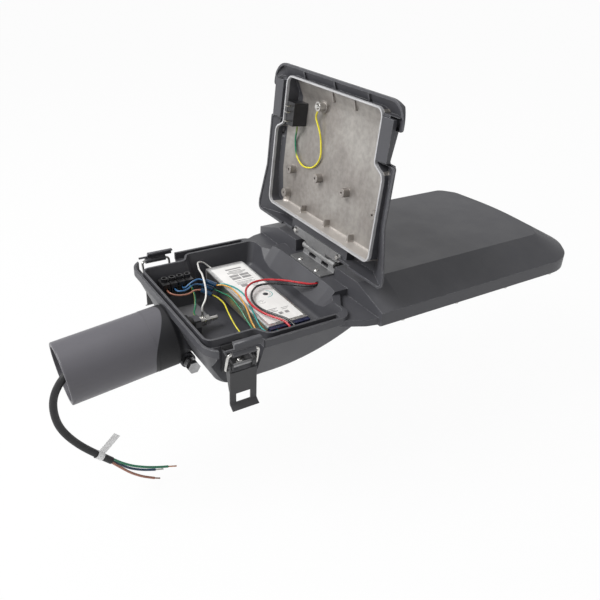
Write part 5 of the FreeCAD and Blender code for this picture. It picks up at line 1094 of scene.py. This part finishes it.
class LIGHTHEAD_OT_supply_cable(Step, Operator):
    """Run the supply cable out of the spigot, with its cores, bare ends and tag."""

    bl_idname = "lighthead.supply_cable"
    bl_label = "Supply cable"

    def execute(self, context):
        lead, plastic, metal = values(context, "leads", "plastic", "metal")
        line = bpy.data.curves.new("supply_cable_run", "CURVE")
        line.dimensions = "3D"
        line.bevel_depth = lead.cable / 2
        line.bevel_resolution = 7
        line.resolution_u = 24
        line.use_fill_caps = True
        spline = line.splines.new("NURBS")
        spline.points.add(len(CABLE_ROUTE_MM) - 1)
        for point, spot in zip(spline.points, CABLE_ROUTE_MM):
            point.co = (*[MM * part for part in spot], 1.0)
        spline.order_u = 3
        spline.use_endpoint_u = True
        line.materials.append(moulding("cable_rubber", lead.sheath, 0.52, 0.45, 0.12, 0.35,
                                       wear_and_highlight=0.0, dust=0.10))
        cable = placed("supply_cable_run", line)
        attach(cable, "head")
        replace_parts(cable, "supply_cable")
        ends = self.strands(metal)
        for hue, tint in (("brown", lead.brown), ("green", lead.green),
                          ("blue", [DARKER * part for part in lead.blue])):
            dress(lead_skin("core_skin_" + hue, tint), "core_" + hue)
        dress(moulding("tag_film", plastic.tag, 0.35, 0.3, 0.04, 0.02, round_by=0.00002,
                       wear_and_highlight=0.0), "cable_tag")
        return {"FINISHED"}

    def strands(self, metal):
        """A twisted bundle of fine wires at each core's end."""
        finishes = [
            bright_metal("strand_dark_copper", [DARKER * part for part in metal.copper], 0.42),
            bright_metal("strand_tin", metal.tin, 0.30),
            bright_metal("strand_copper", metal.copper, 0.35),
        ]
        mesh = bmesh.new()
        for number, (first, last) in enumerate(CORE_TIPS_MM):
            first, last = Vector(first) * MM, Vector(last) * MM
            ahead = (last - first).normalized()
            side = ahead.orthogonal().normalized()
            other = ahead.cross(side)
            for strand in range(7):
                reach = 2 * STRAND_RADIUS if strand else 0.0
                path = []
                for step in range(STRAND_STEPS + 1):
                    share_of_run = step / STRAND_STEPS
                    angle = math.pi * strand / 3 + STRAND_TWIST * share_of_run
                    flare = reach * (1 + STRAND_FLARE * share_of_run ** 2)
                    path.append(first + (last - first) * share_of_run
                                + side * (flare * math.cos(angle))
                                + other * (flare * math.sin(angle)))
                tube(mesh, path, STRAND_RADIUS, 7, number)
        piece = new_piece("supply_core_strands", mesh, "head", finishes, True)
        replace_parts(piece, "core_ends")
        return piece


# Studio

# The picture's camera: its place in metres, its heading, fall and roll in degrees, its lens in mm
CAMERA_SPOT = (-0.10327, -0.61196, 0.41986)
CAMERA_TURN = (33.350, 29.091, 2.713)
CAMERA_LENS = 39.558
LAMPS_AIM = Vector((0.30, 0.0, 0.05))
FLOOR_REACH = 30.0
FLOOR_GLOW = 0.95
WHITE = (1.0, 1.0, 1.0, 1.0)


class LIGHTHEAD_OT_studio(Step, Operator):
    """Set the camera, the soft lamps, the even sky and the pale floor."""

    bl_idname = "lighthead.studio"
    bl_label = "Studio"

    def execute(self, context):
        studio = context.scene.lighthead_studio
        context.scene.view_settings.view_transform = "Standard"
        self.camera(context)
        self.lamp("key_lamp", (-0.75, 0.20, 1.15), studio.key, 0.8)
        self.lamp("rim_lamp", (1.3, 1.3, 1.5), studio.rim, 1.4)
        self.sky(context, studio)
        self.floor(studio)
        return {"FINISHED"}

    def camera(self, context):
        """The camera where the picture was taken from."""
        yaw, pitch, roll = (math.radians(angle) for angle in CAMERA_TURN)
        data = bpy.data.cameras.new("picture_camera")
        data.sensor_width = 36.0
        data.lens = CAMERA_LENS
        data.clip_start = 0.01
        camera = placed("picture_camera", data)
        camera.matrix_world = (
            Matrix.Translation(CAMERA_SPOT) @ Matrix.Rotation(-yaw, 4, "Z")
            @ Matrix.Rotation(math.pi / 2 - pitch, 4, "X") @ Matrix.Rotation(roll, 4, "Z"))
        context.scene.camera = camera

    def lamp(self, name, spot, power, size):
        """A square soft lamp that looks at the middle of the object."""
        data = bpy.data.lights.new(name, "AREA")
        data.energy = power
        data.size = size
        lamp = placed(name, data)
        lamp.location = spot
        lamp.rotation_euler = (LAMPS_AIM - Vector(spot)).to_track_quat("-Z", "Y").to_euler()

    def seen_by(self, tree, *kinds):
        """1 where a ray of one of these kinds looks, and 0 for the light itself."""
        rays = put(tree, "ShaderNodeLightPath").outputs
        return fold(tree, "MAXIMUM", *(rays["Is " + kind + " Ray"] for kind in kinds))

    def sky(self, context, studio):
        """Even light from all round, seen as white."""
        world = bpy.data.worlds.new("studio_sky")
        context.scene.world = world
        world.use_nodes = True
        tree = world.node_tree
        tree.nodes.clear()
        seen = self.seen_by(tree, "Camera", "Transmission")
        even, white = (
            put(tree, "ShaderNodeBackground", {"Color": WHITE, "Strength": strength}).outputs[0]
            for strength in (studio.sky, 1.0))
        mixed = put(tree, "ShaderNodeMixShader", {0: seen, 1: even, 2: white})
        put(tree, "ShaderNodeOutputWorld", {"Surface": mixed.outputs[0]})

    def floor(self, studio):
        """A wide pale floor under the object, which shows almost white and keeps the shadow."""
        material, tree, shader = start("studio_floor")
        shader.inputs["Base Color"].default_value = rgba(studio.floor)
        shader.inputs["Roughness"].default_value = 0.9
        shader.inputs["Specular IOR Level"].default_value = 0.0
        seen = self.seen_by(tree, "Camera", "Glossy", "Transmission")
        glow = put(tree, "ShaderNodeEmission", {"Color": WHITE, "Strength": 1.0})
        mixed = put(tree, "ShaderNodeMixShader", {
            0: times(tree, seen, FLOOR_GLOW), 1: shader.outputs[0], 2: glow.outputs[0]})
        tree.links.new(mixed.outputs[0], tree.nodes["Material Output"].inputs["Surface"])
        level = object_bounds()[0].z - studio.drop
        mesh = bpy.data.meshes.new("studio_floor")
        corners = rectangle(-FLOOR_REACH, -FLOOR_REACH, 2 * FLOOR_REACH, 2 * FLOOR_REACH)
        mesh.from_pydata([(x, y, level) for x, y in corners], [], [(0, 1, 2, 3)])
        mesh.materials.append(material)
        placed("studio_floor", mesh)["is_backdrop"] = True


class LIGHTHEAD_PT_panel(Panel):
    """Lists the light head's steps and values."""

    bl_label = "Light Head"
    bl_idname = "LIGHTHEAD_PT_panel"
    bl_space_type = "VIEW_3D"
    bl_region_type = "UI"
    bl_category = "Light Head"

    def draw(self, context):
        for step in STEPS:
            self.layout.operator(step.bl_idname)
        for name, group in GROUPS.items():
            box = self.layout.box()
            for value in group.__annotations__:
                box.prop(getattr(context.scene, name), value)


GROUPS = {
    "lighthead_paint": LightHeadPaint,
    "lighthead_metal": LightHeadMetal,
    "lighthead_plastic": LightHeadPlastic,
    "lighthead_leads": LightHeadLeads,
    "lighthead_lamp": LightHeadLamp,
    "lighthead_studio": LightHeadStudio,
}
STEPS = [
    LIGHTHEAD_OT_castings, LIGHTHEAD_OT_spigot, LIGHTHEAD_OT_lid_fittings, LIGHTHEAD_OT_hinge,
    LIGHTHEAD_OT_latches, LIGHTHEAD_OT_driver, LIGHTHEAD_OT_terminals, LIGHTHEAD_OT_leads,
    LIGHTHEAD_OT_lamp, LIGHTHEAD_OT_supply_cable, LIGHTHEAD_OT_studio,
]
CLASSES = [*GROUPS.values(), *STEPS, LIGHTHEAD_PT_panel]


def register():
    """Registers the groups, the operators and the panel."""
    for kind in CLASSES:
        bpy.utils.register_class(kind)
    for name, group in GROUPS.items():
        setattr(bpy.types.Scene, name, PointerProperty(type=group))


def unregister():
    """Takes them away again."""
    for name in GROUPS:
        delattr(bpy.types.Scene, name)
    for kind in reversed(CLASSES):
        bpy.utils.unregister_class(kind)


def main():
    """Runs every step in order."""
    register()
    for step in STEPS:
        group, name = step.bl_idname.split(".")
        getattr(getattr(bpy.ops, group), name)()


if __name__ == "__main__":
    main()
